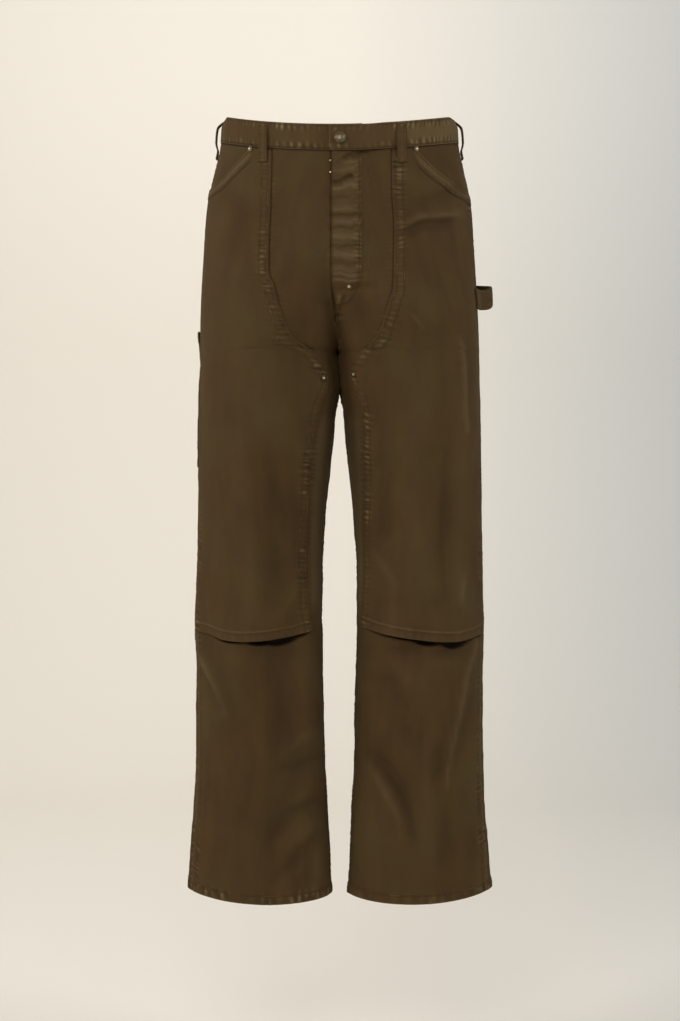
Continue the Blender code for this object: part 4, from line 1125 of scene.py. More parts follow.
def double_face(side, share, drop):
    """Lift, and wear with painted light and shade, of a double front's outer face, with the way that it
    stands off at the knee.
    """
    round_it = girth(FRONT, drop)
    part = width_part(side, share, drop)
    at_mouth = 1 - fade(part, MOUTH_END - 0.01, MOUTH_END + 0.03)
    knee = KNEE_HEM_DROP + curve(KNEE_EDGE[side], part) - drop
    return both(
        (DOUBLE_FACE + knee_stand(side, part, drop), 0.0),
        by_side_seam((share - FRONT_START) * round_it, drop, seed_of(side, FRONT, 6)),
        sewn(from_edge(side, share, drop), drop, seed_of(side, FRONT, 7), rise=0.5, width=15.0,
             rows=TWIN_EDGE_ROWS, height=0.6, reach=8.5, edge_wear_and_painted_light=0.0),
        # Painted shade along the double front's own inner edge
        (0.0, DOUBLE_EDGE_SHADE * edge_shade(side, drop) * mound(from_edge(side, share, drop), 1.6)),
        seam_shadow(drop),
        # Pocket mouth: its raised band is made paler, its rolled edge is rubbed and given painted highlight,
        # and its stitch grooves and the line below it get painted shade
        weighed(sewn(from_mouth(side, part, drop), 1.2 * share * round_it, seed_of(side, FRONT, 8),
                     rise=0.9, width=MOUTH_BAND, rows=MOUTH_ROWS, height=0.12, band_wear=0.3, edge_wear_and_painted_light=0.2),
                at_mouth),
        weighed(hem_shadow(from_mouth(side, part, drop) - MOUTH_BAND - 1.4), at_mouth),
        sewn(knee, share * round_it, seed_of(side, FRONT, 9), rise=0.8, width=MOUTH_BAND,
             rows=(KNEE_HEM_ROW - 1.5,), height=0.12, wave=10.0, edge_wear_and_painted_light=0.1, band_wear=0.05),
        (0.0, 0.25 * mound(knee - KNEE_HEM_ROW - 1.2, 1.3)),
        fold_wear_and_shade(side, FRONT, share, drop),
    )


def double_front(side, name):
    """A double front from its mouth and waist seam down to its open edge."""
    bottom = KNEE_HEM_DROP - BY_HEM[0]
    even = np.linspace(SLANTED_END, bottom, int((bottom - SLANTED_END) / ROW_STEP) + 1)
    rows = np.concatenate([even[:-1], KNEE_HEM_DROP - np.array(BY_HEM)])
    steps = len(BY_MOUTH) + MOUTH_ROWS_BELOW
    guess = np.concatenate([np.linspace(WAIST_SEAM_DROP, SLANTED_END, steps + 1)[:-1], rows])
    edge, round_it = double_edge(side, guess), girth(FRONT, guess)
    width = (edge - FRONT_START) * round_it
    part = columns(width, BY_SEAM, DOUBLE_MIDDLE, BY_DOUBLE_EDGE) / width[:, None]
    top = np.where(part[0] <= MOUTH_END, curve(POCKET_MOUTH[side], part[0]), WAIST_SEAM_DROP)
    upper = top[None, :] + np.array(BY_MOUTH)[:, None]
    start = upper[-1:]
    steps_below = np.arange(1, MOUTH_ROWS_BELOW + 1) / (MOUTH_ROWS_BELOW + 1)
    lower = start + (SLANTED_END - start) * steps_below[:, None]
    near = mound(rows - KNEE_HEM_DROP, KNEE_ROWS_REACH) * fade(rows, *KNEE_ROWS_START)
    straight = rows[:, None] + near[:, None] * curve(KNEE_EDGE[side], part[len(guess) - len(rows):])
    drop = np.concatenate([upper, lower, straight])
    share = share_at(side, part, drop)
    lift, wear_and_painted_light = double_face(side, share, drop)
    outer = place(side, FRONT, share, drop, lift)
    inner = place(side, FRONT, share, drop, LAYER_GAP + knee_stand(side, part, drop))
    return cloth_mesh(name, outer, inner, side * share * girth(FRONT, drop), drop, wear_and_painted_light, double_cotton)


double_cotton = brushed_cotton("brushed_brown_cotton_second_layer", "#4B381E", "#352514", "#483D22",
                               "#6E5D42")
for side, word in ((RIGHT, "right"), (LEFT, "left")):
    piece = double_front(side, f"double_front_{word}_cloth")
    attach(piece, "root")
    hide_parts(f"double_front_{word}")

# Tool pocket: a narrow patch sewn on behind the wearer's right side seam, hemmed at its upper edge.
# The edge gapes beside the seam, where it shows from in front.
TOOL_POCKET_TOP = 287.0
TOOL_POCKET_BOTTOM = 470.0
TOOL_POCKET_WIDTH = 100.0
TOOL_POCKET_GAPE = 3.4
TOOL_POCKET_GAPE_DROP = 48.0
TOOL_POCKET_GAPE_SHARE = 0.3
TOOL_POCKET_GAPE_LOSS = 0.7
TOOL_POCKET_COLUMNS = 60
TOOL_POCKET_ROWS = 100
POCKET_ROWS = (2.0, 8.0)
POCKET_TOP_ROW = 13.0


def pocket_stand(share, drop):
    """How far the tool pocket stands off the back panel."""
    stand = TOOL_POCKET_GAPE * (1 - fade(drop, TOOL_POCKET_TOP, TOOL_POCKET_TOP + TOOL_POCKET_GAPE_DROP))
    return LAYER_GAP + stand * (1 - TOOL_POCKET_GAPE_LOSS * fade(share, 0, TOOL_POCKET_GAPE_SHARE))


def pocket_face(run, drop):
    """Lift, and wear with painted shade, of the tool pocket's outer face: run is measured back from the
    widest line.
    """
    share = run / girth(BACK, drop)
    return both(
        (CLOTH + pocket_stand(share, drop), 0.0),
        sewn(drop - TOOL_POCKET_TOP, run, 801, rise=TURN_RAISE, width=15.0, rows=(POCKET_TOP_ROW,),
             height=0.3),
        sewn(run, drop, 802, rise=0.3, rows=POCKET_ROWS, height=0.3),
        sewn(TOOL_POCKET_WIDTH - run, drop, 803, rise=0.3, rows=POCKET_ROWS, height=0.3),
        sewn(TOOL_POCKET_BOTTOM - drop, run, 804, rise=0.3, rows=POCKET_ROWS, height=0.3),
    )


run, drop = np.meshgrid(np.linspace(0, TOOL_POCKET_WIDTH, TOOL_POCKET_COLUMNS),
                        np.linspace(TOOL_POCKET_TOP, TOOL_POCKET_BOTTOM, TOOL_POCKET_ROWS))
lift, wear_and_painted_light = pocket_face(run, drop)
share = run / girth(BACK, drop)
piece = cloth_mesh("tool_pocket_cloth", place(RIGHT, BACK, share, drop, lift),
                   place(RIGHT, BACK, share, drop, pocket_stand(share, drop)), run, drop, wear_and_painted_light, double_cotton)
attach(piece, "root")
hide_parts("tool_pocket_right")

# Fly placket: the folded edge of the wearer's left front with the stitched layer behind it, which shows as a
# faint ridge. The edge gapes under the waistband and round the two studs.
FLY_WIDTH = 38.0
FLY_BOTTOM = 262.0
FLY_ROUND_START = 208.0
FLY_ROUND_END = 265.0
FLY_EDGE = 0.4
FLY_ROWS = 150
FLY_MIDDLE = 12
FLY_THIN = 0.35
FLY_THIN_WIDTH = 9.0
FLY_GAPES = (
    # drop, height, half length of the gape along the edge
    (43.0, 2.2, 7.0), (52.0, 1.6, 4.0), (68.5, 1.9, 4.5), (96.0, 0.8, 14.0),
)
FLY_GAPE_WIDTH = 13.0
FLY_STITCH = 35.5
# The outer row of the fly's stitching goes on past the placket into the wearer's left front
OUTER_FLY_STITCH = 46.5
OUTER_FLY_ROUND = (215.0, 273.0)
BY_FLY_EDGE = (0.0, 0.2, 0.5, 1.0, 1.8, 3.0, 4.5, 6.5, 8.5, 10.5)
BY_FLY_BORDER = (10.0, 8.0, 6.0, 4.5, 3.3, 2.5, 1.7, 0.9, 0.4, 0.0)


def share_across(x_at, face, drop):
    """Share of the way round at a sideways place."""
    centre, half, depth, power = oval(LEFT, face, drop)
    theta = np.arccos(np.clip((np.abs(x_at) - centre) / half, -1, 1))
    at = np.clip(theta / end_angle(centre, half, depth, power, 0.0), 0, 1 - 1e-9) * RING_STEPS
    run = ring_runs(LEFT, face, drop)
    run = run / run[..., -1:]
    k = at.astype(int)
    low = np.take_along_axis(run, k[..., None], -1)[..., 0]
    high = np.take_along_axis(run, k[..., None] + 1, -1)[..., 0]
    return low + (at - k) * (high - low)


def across(x_at, face, drop, lift=0.0):
    """World points of a layer at a sideways place, for pieces near or across the centre."""
    x_at, drop, lift = np.broadcast_arrays(*(np.asarray(v, float) for v in (x_at, drop, lift)))
    share = share_across(x_at, face, drop)
    lift = lift + np.where(x_at < 0, slack(RIGHT, face, share, drop), slack(LEFT, face, share, drop))
    centre, half, depth, power = oval(LEFT, face, drop)
    theta = np.arccos(np.clip((np.abs(x_at) - centre) / (half + lift), -1, 1))
    y = face * (depth + lift) * np.sin(theta) ** fuller(face, drop, theta, power)
    x, y, z = hang(x_at, y, drop, depth)
    return np.stack([x, y, z], axis=-1) * MM


def fly_stand(x_at, drop):
    """How far the fly's edge stands off the other front."""
    total = 0.0 * drop
    for at, height, half_length in FLY_GAPES:
        total = total + height * mound(drop - at, half_length)
    return total * (1 - fade(x_at, FLY_EDGE, FLY_EDGE + FLY_GAPE_WIDTH))


def fly_face(x_at, drop, width):
    """Lift, and wear with painted shade, of the placket's outer face."""
    border = width - (x_at - FLY_EDGE)
    thin = (CLOTH - FLY_THIN) * (1 - fade(border, 1.0, FLY_THIN_WIDTH))
    low_end = (CLOTH - FLY_THIN) * fade(drop, FLY_BOTTOM - 16, FLY_BOTTOM - 2)
    return both(
        (LAYER_GAP + CLOTH - np.maximum(thin, low_end) + fly_stand(x_at, drop), 0.0),
        # The placket's folded edge is darkened with painted shade
        sewn(x_at - FLY_EDGE, drop, 811, rise=0.2, width=6.0, rows=(), height=0.16, reach=9.0,
             edge_wear_and_painted_light=-0.5),
        sewn(border, drop, 812, rise=0.0, width=6.0, rows=(2.5,), height=0.3, edge=False),
        # The placket is made paler overall; its crease crests are paler and their troughs darkened with
        # painted shade
        (0.0, 0.14 + np.clip(0.12 * centre_creases(x_at, drop), -0.5, 0.3)),
    )


def fly_bend(drop, start=FLY_ROUND_START, end=FLY_ROUND_END):
    """Share of the fly's full width that is left where its lower end is rounded."""
    return np.sqrt(1 - np.clip((drop - start) / (end - start), 0, 1) ** 2)


rows = np.linspace(WAIST_SEAM_DROP, FLY_BOTTOM, FLY_ROWS)
across_fly = columns(np.full(FLY_ROWS, FLY_WIDTH), BY_FLY_EDGE, FLY_MIDDLE, BY_FLY_BORDER)
x_at = FLY_EDGE + fly_bend(rows)[:, None] * across_fly
drop = np.broadcast_to(rows[:, None], x_at.shape)
lift, wear_and_painted_light = fly_face(x_at, drop, FLY_WIDTH * fly_bend(drop))
piece = cloth_mesh("fly_placket_cloth", across(x_at, FRONT, drop, lift),
                   across(x_at, FRONT, drop, LAYER_GAP * 0.5 + fly_stand(x_at, drop)), x_at, drop, wear_and_painted_light,
                   double_cotton)
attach(piece, "root")
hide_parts("fly_placket")

# Waistband: one folded strip of the same cotton, topstitched along both edges and lapped at the front.
# The stitching has shrunk it into short upright puckers, worn lighter than the rest.
BAND_HEIGHT = 35.0
BAND_OUT = 1.0
BAND_IN = -2.0
LAP_TOP_END = -3.0
LAP_UNDER_END = 40.0
LAP_RAMP = (46.0, 72.0)
LAP_RAISE = 3.4
BAND_STEPS = 620
BAND_ROWS = (0.0, 0.25, 0.7, 1.4, 2.2, 3.0, 4.2, 6.0, 8.5, 12.0, 16.0, 20.0, 24.0, 27.5, 30.0, 31.4, 32.3,
             33.2, 34.0, 34.6, 34.9, 35.0)
BAND_TOP_ROW = 2.2
BAND_LOW_ROW = 32.8
BAND_EDGE_ROUND = 1.4
BAND_BULGE = 0.5
BAND_EDGE_WIDTH = 1.5
# The band is more worn on the wearer's left, from these cosines of the angle round it
BAND_LEFT_WEAR = 0.28
BAND_LEFT_START = (0.25, 0.7)
BAND_END_COLUMNS = (0.0, 0.1, 0.3, 0.7, 1.2, 1.8)
LAP_END_ROUND = 1.2
BAND_ROUND = 870.0
# Over the side seams the upper edge rolls in
RIM_LEAN = 9.0
RIM_LEAN_DROP = 15.0
RIM_LEAN_LENGTH = 36.0


def around(angle, drop, lift=0.0):
    """World points near the waist at an angle: 0 is the wearer's left, -90 the front, 90 the back."""
    angle, drop, lift = np.broadcast_arrays(*(np.asarray(v, float) for v in (angle, drop, lift)))
    turned = np.radians(angle)
    half = curve(SIDE_HALF_WIDTH, drop) + lift
    depth = np.where(np.sin(turned) < 0, curve(FRONT_DEPTH, drop), curve(BACK_DEPTH, drop))
    x = half * np.cos(turned)
    y = np.sign(np.sin(turned)) * (depth + lift) * np.abs(np.sin(turned)) ** curve(OVAL_POWER, drop)
    by_side = mound(y, RIM_LEAN_LENGTH)
    rolled = 1 - np.sin(0.5 * math.pi * np.clip(drop / RIM_LEAN_DROP, 0, 1))
    x = x - np.sign(x) * RIM_LEAN * by_side * rolled
    x, y, z = hang(x, y, drop, depth)
    return np.stack([x, y, z], axis=-1) * MM


def front_angle(x_at):
    """Angle round the waist of a place across the front."""
    return -math.degrees(math.acos(x_at / SIDE_HALF_WIDTH[0][1]))


def rounded(distance, radius):
    """How far a face drops away towards an edge that is round."""
    near = np.clip(1 - distance / radius, 0, 1)
    return radius * (1 - np.sqrt(1 - near ** 2))


BAND_FIRST = front_angle(LAP_TOP_END)
BAND_LAST = front_angle(LAP_UNDER_END) + 360


def band_run(angle):
    """Distance round the waistband in millimetres from its upper end."""
    return (angle - BAND_FIRST) / 360 * BAND_ROUND


def lap_raised(angle):
    """How far the upper end of the waistband stands out over the lower one."""
    return LAP_RAISE * (1 - fade(angle, *(front_angle(x) for x in LAP_RAMP)))


def band_edges(drop):
    """How far the waistband's faces draw together at its two long edges."""
    return rounded(drop, BAND_EDGE_ROUND) + rounded(BAND_HEIGHT - drop, BAND_EDGE_ROUND)


def band_face(angle, drop):
    """Lift, and wear with painted light and shade, of the waistband's outer face."""
    run = band_run(angle)
    lap_end = rounded(run, LAP_END_ROUND)
    other_end = rounded(band_run(BAND_LAST) - run, LAP_END_ROUND)
    bulge = BAND_BULGE * np.sin(math.pi * drop / BAND_HEIGHT)
    return both(
        (BAND_OUT + lap_raised(angle) + bulge, 0.0),
        # The long edges and the lap's end are made paler by rubbing, with a painted highlight on the lower
        # edge's roll
        (-band_edges(drop) - lap_end - other_end,
         0.2 * mound(drop, BAND_EDGE_WIDTH) + 0.4 * mound(BAND_HEIGHT - drop, BAND_EDGE_WIDTH)
         + 0.1 * mound(run, 1.8)),
        sewn(drop, run, 821, rise=0.0, width=9.0, rows=(BAND_TOP_ROW,), height=0.6, wave=6.8, reach=4.2,
             edge=False),
        sewn(BAND_HEIGHT - drop, run, 822, rise=0.0, width=12.0, rows=(BAND_HEIGHT - BAND_LOW_ROW,),
             height=0.6, wave=8.6, reach=3.8, edge=False),
        # Painted shade in the groove of the lower row of stitching
        (0.0, -0.5 * mound(drop - BAND_LOW_ROW, 0.9)),
        (0.0, BAND_LEFT_WEAR * fade(np.cos(np.radians(angle)), *BAND_LEFT_START)),
    )


trim_cotton = brushed_cotton("brushed_brown_cotton_folded_strip", "#4F3C22", "#3A2B17", "#4C4124", "#786747")
angles = np.concatenate([BAND_FIRST + np.array(BAND_END_COLUMNS) / BAND_ROUND * 360,
                         np.linspace(BAND_FIRST + 1.2, BAND_LAST - 1.2, BAND_STEPS),
                         BAND_LAST - np.array(BAND_END_COLUMNS[::-1]) / BAND_ROUND * 360])
drop, angle = np.meshgrid(BAND_ROWS, angles, indexing="ij")
lift, wear_and_painted_light = band_face(angle, drop)
back_lift = BAND_IN + lap_raised(angle) + band_edges(drop)
piece = cloth_mesh("waistband_cloth", around(angle, drop, lift), around(angle, drop, back_lift),
                   band_run(angle), drop, wear_and_painted_light, trim_cotton)
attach(piece, "root")
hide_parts("waistband")

# Belt loops: narrow folded strips with two rows of stitching, turned under at both ends and tacked across.
# Two stand in front, two over the side seams and one at the back.
LOOP_WIDTH = 12.0
LOOP_CLOTH = 1.6
FLAT_LOOP = (
    # drop, lift of the inner face
    (1.0, 1.4), (6.0, 1.5), (12.0, 2.9), (20.0, 3.5), (29.0, 3.4), (38.0, 2.9), (46.0, 2.4), (55.0, 2.3),
)
SIDE_LOOP = (
    # drop, lift of the inner face
    (1.0, 1.4), (5.0, 2.2), (9.0, 4.4), (13.0, 5.8), (24.0, 6.6), (32.0, 6.4), (38.0, 5.0), (44.0, 2.7),
    (55.0, 2.3),
)
FRONT_LOOP_PLACE = 90.0
LOOP_ROWS = 56
HALF_LOOP_COLUMNS = (1.8, 3.2, 3.8, 4.4, 5.1, 5.6, 5.9, 6.0)
LOOP_COLUMNS = np.array([-x for x in HALF_LOOP_COLUMNS[::-1]] + [0.0] + list(HALF_LOOP_COLUMNS))
LOOP_STITCH = 3.8


STRIP_CROWN = 0.7
STRIP_GROOVE_WIDTH = 0.7
STRIP_PUCKER_WAVE = 5.0
STRIP_PUCKER_REACH = 3.0
STRIP_TACK_AT = 3.0
STRIP_TACK_WIDTH = 1.4
STRIP_EDGE_ROUND = 0.9
STRIP_END_ROUND = 0.7


def strip_face(beside, along, length, half_width, stitch, seed):
    """Lift, and wear with painted light and shade, of a narrow folded strip: beside is measured from its
    middle.
    """
    edge = half_width - np.abs(beside)
    end = np.minimum(along, length - along)
    groove = mound(np.abs(beside) - stitch, STRIP_GROOVE_WIDTH)
    ridge = puckers(edge, along, seed, STRIP_PUCKER_WAVE, STRIP_PUCKER_REACH, half_width - stitch)
    tack = mound(end - STRIP_TACK_AT, STRIP_TACK_WIDTH)
    crown = STRIP_CROWN * (1 - (beside / half_width) ** 2)
    lift = crown - rounded(edge, STRIP_EDGE_ROUND) - rounded(end, STRIP_END_ROUND)
    # Painted shade darkens the grooves and the outline; the tacks, the crown and the roll inside each edge
    # are made paler
    return (lift - 0.22 * groove + 0.16 * ridge - 0.15 * tack,
            0.45 * ridge + 0.3 * tack - 0.45 * groove - 0.5 * mound(edge, STRIP_EDGE_ROUND)
            + 0.2 * mound(edge - 1.6, 0.8) + 0.12 * mound(beside, 2.0))


def belt_loop(name, node, sheet, path, seed):
    """A belt loop: sheet(beside, drop, lift) gives its points."""
    first, last = path[0][0], path[-1][0]
    beside, drop = np.meshgrid(LOOP_COLUMNS, np.linspace(first, last, LOOP_ROWS))
    under = curve(path, drop)
    lift, wear_and_painted_light = strip_face(beside, drop - first, last - first, LOOP_WIDTH / 2, LOOP_STITCH, seed)
    made = cloth_mesh(name, sheet(beside, drop, under + LOOP_CLOTH + lift), sheet(beside, drop, under),
                      beside, drop, wear_and_painted_light, trim_cotton)
    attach(made, "root")
    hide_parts(node)


def side_loop_sheet(side):
    """The points of a belt loop over a side seam."""
    half_angle = math.degrees((LOOP_WIDTH / 2 / FRONT_DEPTH[0][1]) ** (1 / OVAL_POWER[0][1]))
    middle = 0.0 if side == LEFT else 180.0
    return lambda beside, drop, lift: around(middle + half_angle * beside / (LOOP_WIDTH / 2), drop, lift)


def flat_loop_sheet(face, x_at):
    """The points of a belt loop in front or behind."""
    return lambda beside, drop, lift: across(x_at + beside, face, drop, lift)


BELT_LOOPS = (
    # name, sheet, path, seed
    ("front_right", flat_loop_sheet(FRONT, -FRONT_LOOP_PLACE), FLAT_LOOP, 829),
    ("side_right", side_loop_sheet(RIGHT), SIDE_LOOP, 839),
    ("front_left", flat_loop_sheet(FRONT, FRONT_LOOP_PLACE), FLAT_LOOP, 831),
    ("side_left", side_loop_sheet(LEFT), SIDE_LOOP, 841),
    ("back", flat_loop_sheet(BACK, 0.0), FLAT_LOOP, 850),
)
for loop_name, sheet, path, seed in BELT_LOOPS:
    belt_loop(f"loop_{loop_name}_cloth", f"belt_loop_{loop_name}", sheet, path, seed)

# Hammer loop: a wide folded strip on the wearer's left, sewn down in front of and behind the side seam.
# It stands off the leg on edge, so from in front its inner face shows as a dark slot.
HAMMER_CLOTH = 2.4
HAMMER_WIDTH = 27.0
HAMMER_STITCH = 10.5
HAMMER_WAY = (
    # how far behind the widest line, lift off the cloth, drop of the strip's middle
    (-40.0, 2.5, 247.0), (-28.0, 2.4, 246.8), (-18.0, 3.2, 246.5), (-11.0, 7.0, 246.0), (-7.0, 13.0, 245.0),
    (-2.0, 18.0, 242.0), (7.0, 20.5, 238.5), (22.0, 20.5, 236.0), (40.0, 20.0, 233.5), (57.0, 18.0, 231.0),
    (70.0, 13.0, 228.5), (79.0, 7.0, 227.0), (86.0, 2.6, 226.0), (94.0, 0.8, 225.0), (106.0, 0.6, 224.5),
)
HAMMER_STEPS = 170
HAMMER_FOLDS = (-3.0, 2.5)
HAMMER_FOLD_AT = 56.0
HAMMER_FOLD_LENGTH = 18.0
HAMMER_STEP = 12.0
HALF_HAMMER_COLUMNS = (2.0, 5.0, 8.0, 10.0, 10.5, 11.0, 12.0, 12.8, 13.3, 13.5)
HAMMER_COLUMNS = np.array([-x for x in HALF_HAMMER_COLUMNS[::-1]] + list(HALF_HAMMER_COLUMNS))


def hammer_point(step, beside, out):
    """Points of the hammer loop: step runs along its way, beside across it, out away from the leg."""
    numbers = range(len(HAMMER_WAY))
    behind, stand, drop = (curve([(i, HAMMER_WAY[i][k]) for i in numbers], step) for k in range(3))
    drop = drop + beside
    ahead = behind < 0
    centre, half, depth, power = (np.where(ahead, a, b) for a, b in zip(oval(LEFT, FRONT, drop),
                                                                      oval(LEFT, BACK, drop)))
    face = np.where(ahead, -1.0, 1.0)
    theta = np.arcsin(np.minimum(1, np.abs(behind) / depth) ** (1 / power))
    across_normal, out_normal = np.cos(theta) / half, face * np.sin(theta) / depth
    size = np.hypot(across_normal, out_normal)
    x = centre + half * np.cos(theta) + (stand + out) * across_normal / size
    y = face * depth * np.sin(theta) ** power + (stand + out) * out_normal / size
    x, y, z = hang(x, y, drop, depth)
    return np.stack([x, y, z], axis=-1) * MM


step, beside = np.meshgrid(np.linspace(0, len(HAMMER_WAY) - 1, HAMMER_STEPS), HAMMER_COLUMNS, indexing="ij")
along = step * HAMMER_STEP
lift, wear_and_painted_light = strip_face(beside, along, along.max(), HAMMER_WIDTH / 2, HAMMER_STITCH, 861)
for fold_at in HAMMER_FOLDS:
    # Each fold line is sunk, and darkened with painted shade
    fold = mound(beside - fold_at, 1.0) * mound(along - HAMMER_FOLD_AT, HAMMER_FOLD_LENGTH)
    lift, wear_and_painted_light = lift - 0.5 * fold, wear_and_painted_light - 0.6 * fold
piece = cloth_mesh("hammer_loop_cloth", hammer_point(step, beside, HAMMER_CLOTH + lift),
                   hammer_point(step, beside, 0.0), beside, along, wear_and_painted_light, trim_cotton)
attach(piece, "root")
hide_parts("hammer_loop")

# Metal: the waist button, the two studs at the fly's edge and the rivets, all pressed brass with an aged
# finish, worn bright on top and dark in the grooves. Each is turned round its own axis.
BUTTON_PROFILE = (
    # radius, height over the seat
    (0.0, 3.75), (1.4, 3.70), (2.8, 3.48), (4.2, 3.05), (5.2, 2.55), (5.7, 2.22), (6.0, 2.10), (6.3, 2.16),
    (6.7, 2.30), (7.1, 2.22), (7.4, 1.90), (7.5, 1.45), (7.45, 0.9), (7.2, 0.45), (6.6, 0.15), (5.0, 0.0),
    (0.0, 0.0),
)
RIVET_PROFILE = (
    # radius, height over the seat
    (0.0, 1.90), (0.6, 1.86), (1.1, 1.70), (1.5, 1.38), (1.75, 1.0), (1.95, 0.62), (2.4, 0.48), (3.0, 0.46),
    (3.5, 0.40), (3.8, 0.24), (3.8, 0.1), (3.4, 0.0), (0.0, 0.0),
)
STUD_PROFILE = (
    # radius, height over the seat
    (0.0, 2.00), (0.5, 1.94), (0.9, 1.74), (1.2, 1.40), (1.35, 1.0), (1.6, 0.7), (1.9, 0.55), (2.0, 0.3),
    (1.8, 0.1), (1.4, 0.0), (0.0, 0.0),
)
BRASS_SKIN = "#2B2215"
BRASS_BARE = "#D9C8A0"
TURN_STEPS = 48
SEAT_STEP = 3.0
BUTTON_PLACE = (11.0, 17.5)
STUD_PLACES = (("fly_stud_upper", -1.1, 50.0), ("fly_stud_lower", -1.1, 67.0))
POCKET_RIVET_PLACE = (108.0, 38.2)
FLY_RIVET_PLACE = (21.5, 238.0)
CROTCH_RIVET_PLACES = ((RIGHT, "crotch_rivet_right", 0.755, 357.0), (LEFT, "crotch_rivet_left", 0.778, 352.0))


def aged_brass():
    """Pressed brass whose dark aged skin is rubbed away on the crown: a soft, slightly blurred shine."""
    material, tree = new_material("aged_pressed_brass")
    place_on = add_node(tree, "ShaderNodeTexCoord").outputs["Object"]
    skin = add_node(tree, "ShaderNodeTexNoise", {"Vector": place_on, "Scale": 900.0,
                                                 "Detail": 4.0}).outputs["Fac"]
    patches = add_node(tree, "ShaderNodeTexNoise", {"Vector": place_on, "Scale": 260.0,
                                                    "Detail": 2.0}).outputs["Fac"]
    crown = add_node(tree, "ShaderNodeAttribute", attribute_name="rub").outputs["Fac"]
    uneven = spread(tree, patches, 0.3, 0.7, 0.35, 0.6)
    rubbed = add_node(tree, "ShaderNodeMath", {0: crown, 1: uneven}, operation="MULTIPLY",
                      use_clamp=True).outputs[0]
    bump = add_node(tree, "ShaderNodeBump", {"Height": skin, "Strength": 0.3, "Distance": 0.0001})
    shader = add_node(tree, "ShaderNodeBsdfPrincipled", {
        "Base Color": mixed(tree, rubbed, linear(BRASS_SKIN), linear(BRASS_BARE)), "Metallic": 1.0,
        "Roughness": spread(tree, skin, 0.3, 0.7, 0.36, 0.58), "Normal": bump.outputs["Normal"],
    })
    add_node(tree, "ShaderNodeOutputMaterial", {"Surface": shader.outputs["BSDF"]})
    return material


def turned_piece(name, node, profile, sheet, across_step, lift, rub=1.8):
    """A turned metal piece seated on the cloth: sheet(i, j, lift) goes i across and j down from its place."""
    angles = np.linspace(0, 2 * math.pi, TURN_STEPS, endpoint=False)
    radius, height = (np.array([row[k] for row in profile]) * MM for k in range(2))
    here = sheet(0, 0, lift)
    right = sheet(across_step, 0, lift) - sheet(-across_step, 0, lift)
    down = sheet(0, SEAT_STEP, lift) - sheet(0, -SEAT_STEP, lift)
    outward = np.cross(down, right)
    outward = outward / np.linalg.norm(outward) * (-1 if outward[1] > 0 else 1)
    right = right / np.linalg.norm(right)
    up = np.cross(outward, right)
    ring = np.cos(angles)[:, None] * right + np.sin(angles)[:, None] * up
    points = here + radius[:, None, None] * ring + height[:, None, None] * outward
    rows_count = len(profile)
    index = np.arange(rows_count * TURN_STEPS).reshape(rows_count, TURN_STEPS)
    following = np.roll(index, -1, axis=1)
    faces = np.stack([index[:-1], index[1:], following[1:], following[:-1]], axis=-1).reshape(-1, 4)
    made = mesh_object(name, points.reshape(-1, 3), faces, brass)
    worn = made.data.attributes.new("rub", "FLOAT", "POINT")
    crown_rub = rub * np.clip(height / height.max(), 0, 1) ** 1.5
    worn.data.foreach_set("value", np.repeat(crown_rub, TURN_STEPS).astype(np.float32))
    body = bmesh.new()
    body.from_mesh(made.data)
    bmesh.ops.remove_doubles(body, verts=body.verts, dist=1e-6)
    bmesh.ops.recalc_face_normals(body, faces=body.faces)
    body.to_mesh(made.data)
    body.free()
    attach(made, "root")
    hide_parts(node)


def on_front(x_at, drop):
    """The cloth's points round a place on the front, between waist and crotch."""
    return lambda i, j, lift: across(x_at + i, FRONT, drop + j, lift)


def on_leg(side, share, drop):
    """The cloth's points round a place on the front of a leg."""
    return lambda i, j, lift: place(side, FRONT, share + i, drop + j, lift)


brass = aged_brass()
turned_piece("waist_button_metal", "waist_button", BUTTON_PROFILE, on_front(*BUTTON_PLACE), SEAT_STEP,
             BAND_OUT + LAP_RAISE + LAYER_GAP, rub=0.5)
for node, x_at, stud_drop in STUD_PLACES:
    turned_piece(f"{node}_metal", node, STUD_PROFILE, on_front(x_at, stud_drop), SEAT_STEP, LAYER_GAP)
for side, word in ((RIGHT, "right"), (LEFT, "left")):
    turned_piece(f"pocket_rivet_{word}_metal", f"pocket_rivet_{word}", RIVET_PROFILE,
                 on_front(side * POCKET_RIVET_PLACE[0], POCKET_RIVET_PLACE[1]), SEAT_STEP,
                 DOUBLE_FACE + TURN_RAISE + LAYER_GAP)
turned_piece("fly_rivet_metal", "fly_rivet", RIVET_PROFILE, on_front(*FLY_RIVET_PLACE), SEAT_STEP,
             DOUBLE_FACE + 0.5)
for side, node, share, rivet_drop in CROTCH_RIVET_PLACES:
    turned_piece(f"{node}_metal", node, RIVET_PROFILE, on_leg(side, share, rivet_drop),
                 SEAT_STEP / CREASE_GIRTH, DOUBLE_FACE + 1.2)

# Topstitching: heavy cotton thread dyed with the garment, a little lighter than the cloth where it is rubbed.
# Each stitch is a short length of thread that comes up out of the cloth and goes back into it.
# Step in millimetres at which a row's line is worked out
STITCH_STEP = 2.0
STITCH_PITCH = 3.4
STITCH_LENGTH = 2.5
THREAD_RADIUS = 0.34
THREAD_DYED = "#453319"
THREAD_RUBBED = "#7F6C46"
STITCH_SIDES = 4
# Along a stitch: place from -0.5 to 0.5, height over the cloth, share of the radius
STITCH_RINGS = ((-0.5, -0.25, 0.55), (-0.2, 0.18, 1.0), (0.2, 0.18, 1.0), (0.5, -0.25, 0.55))


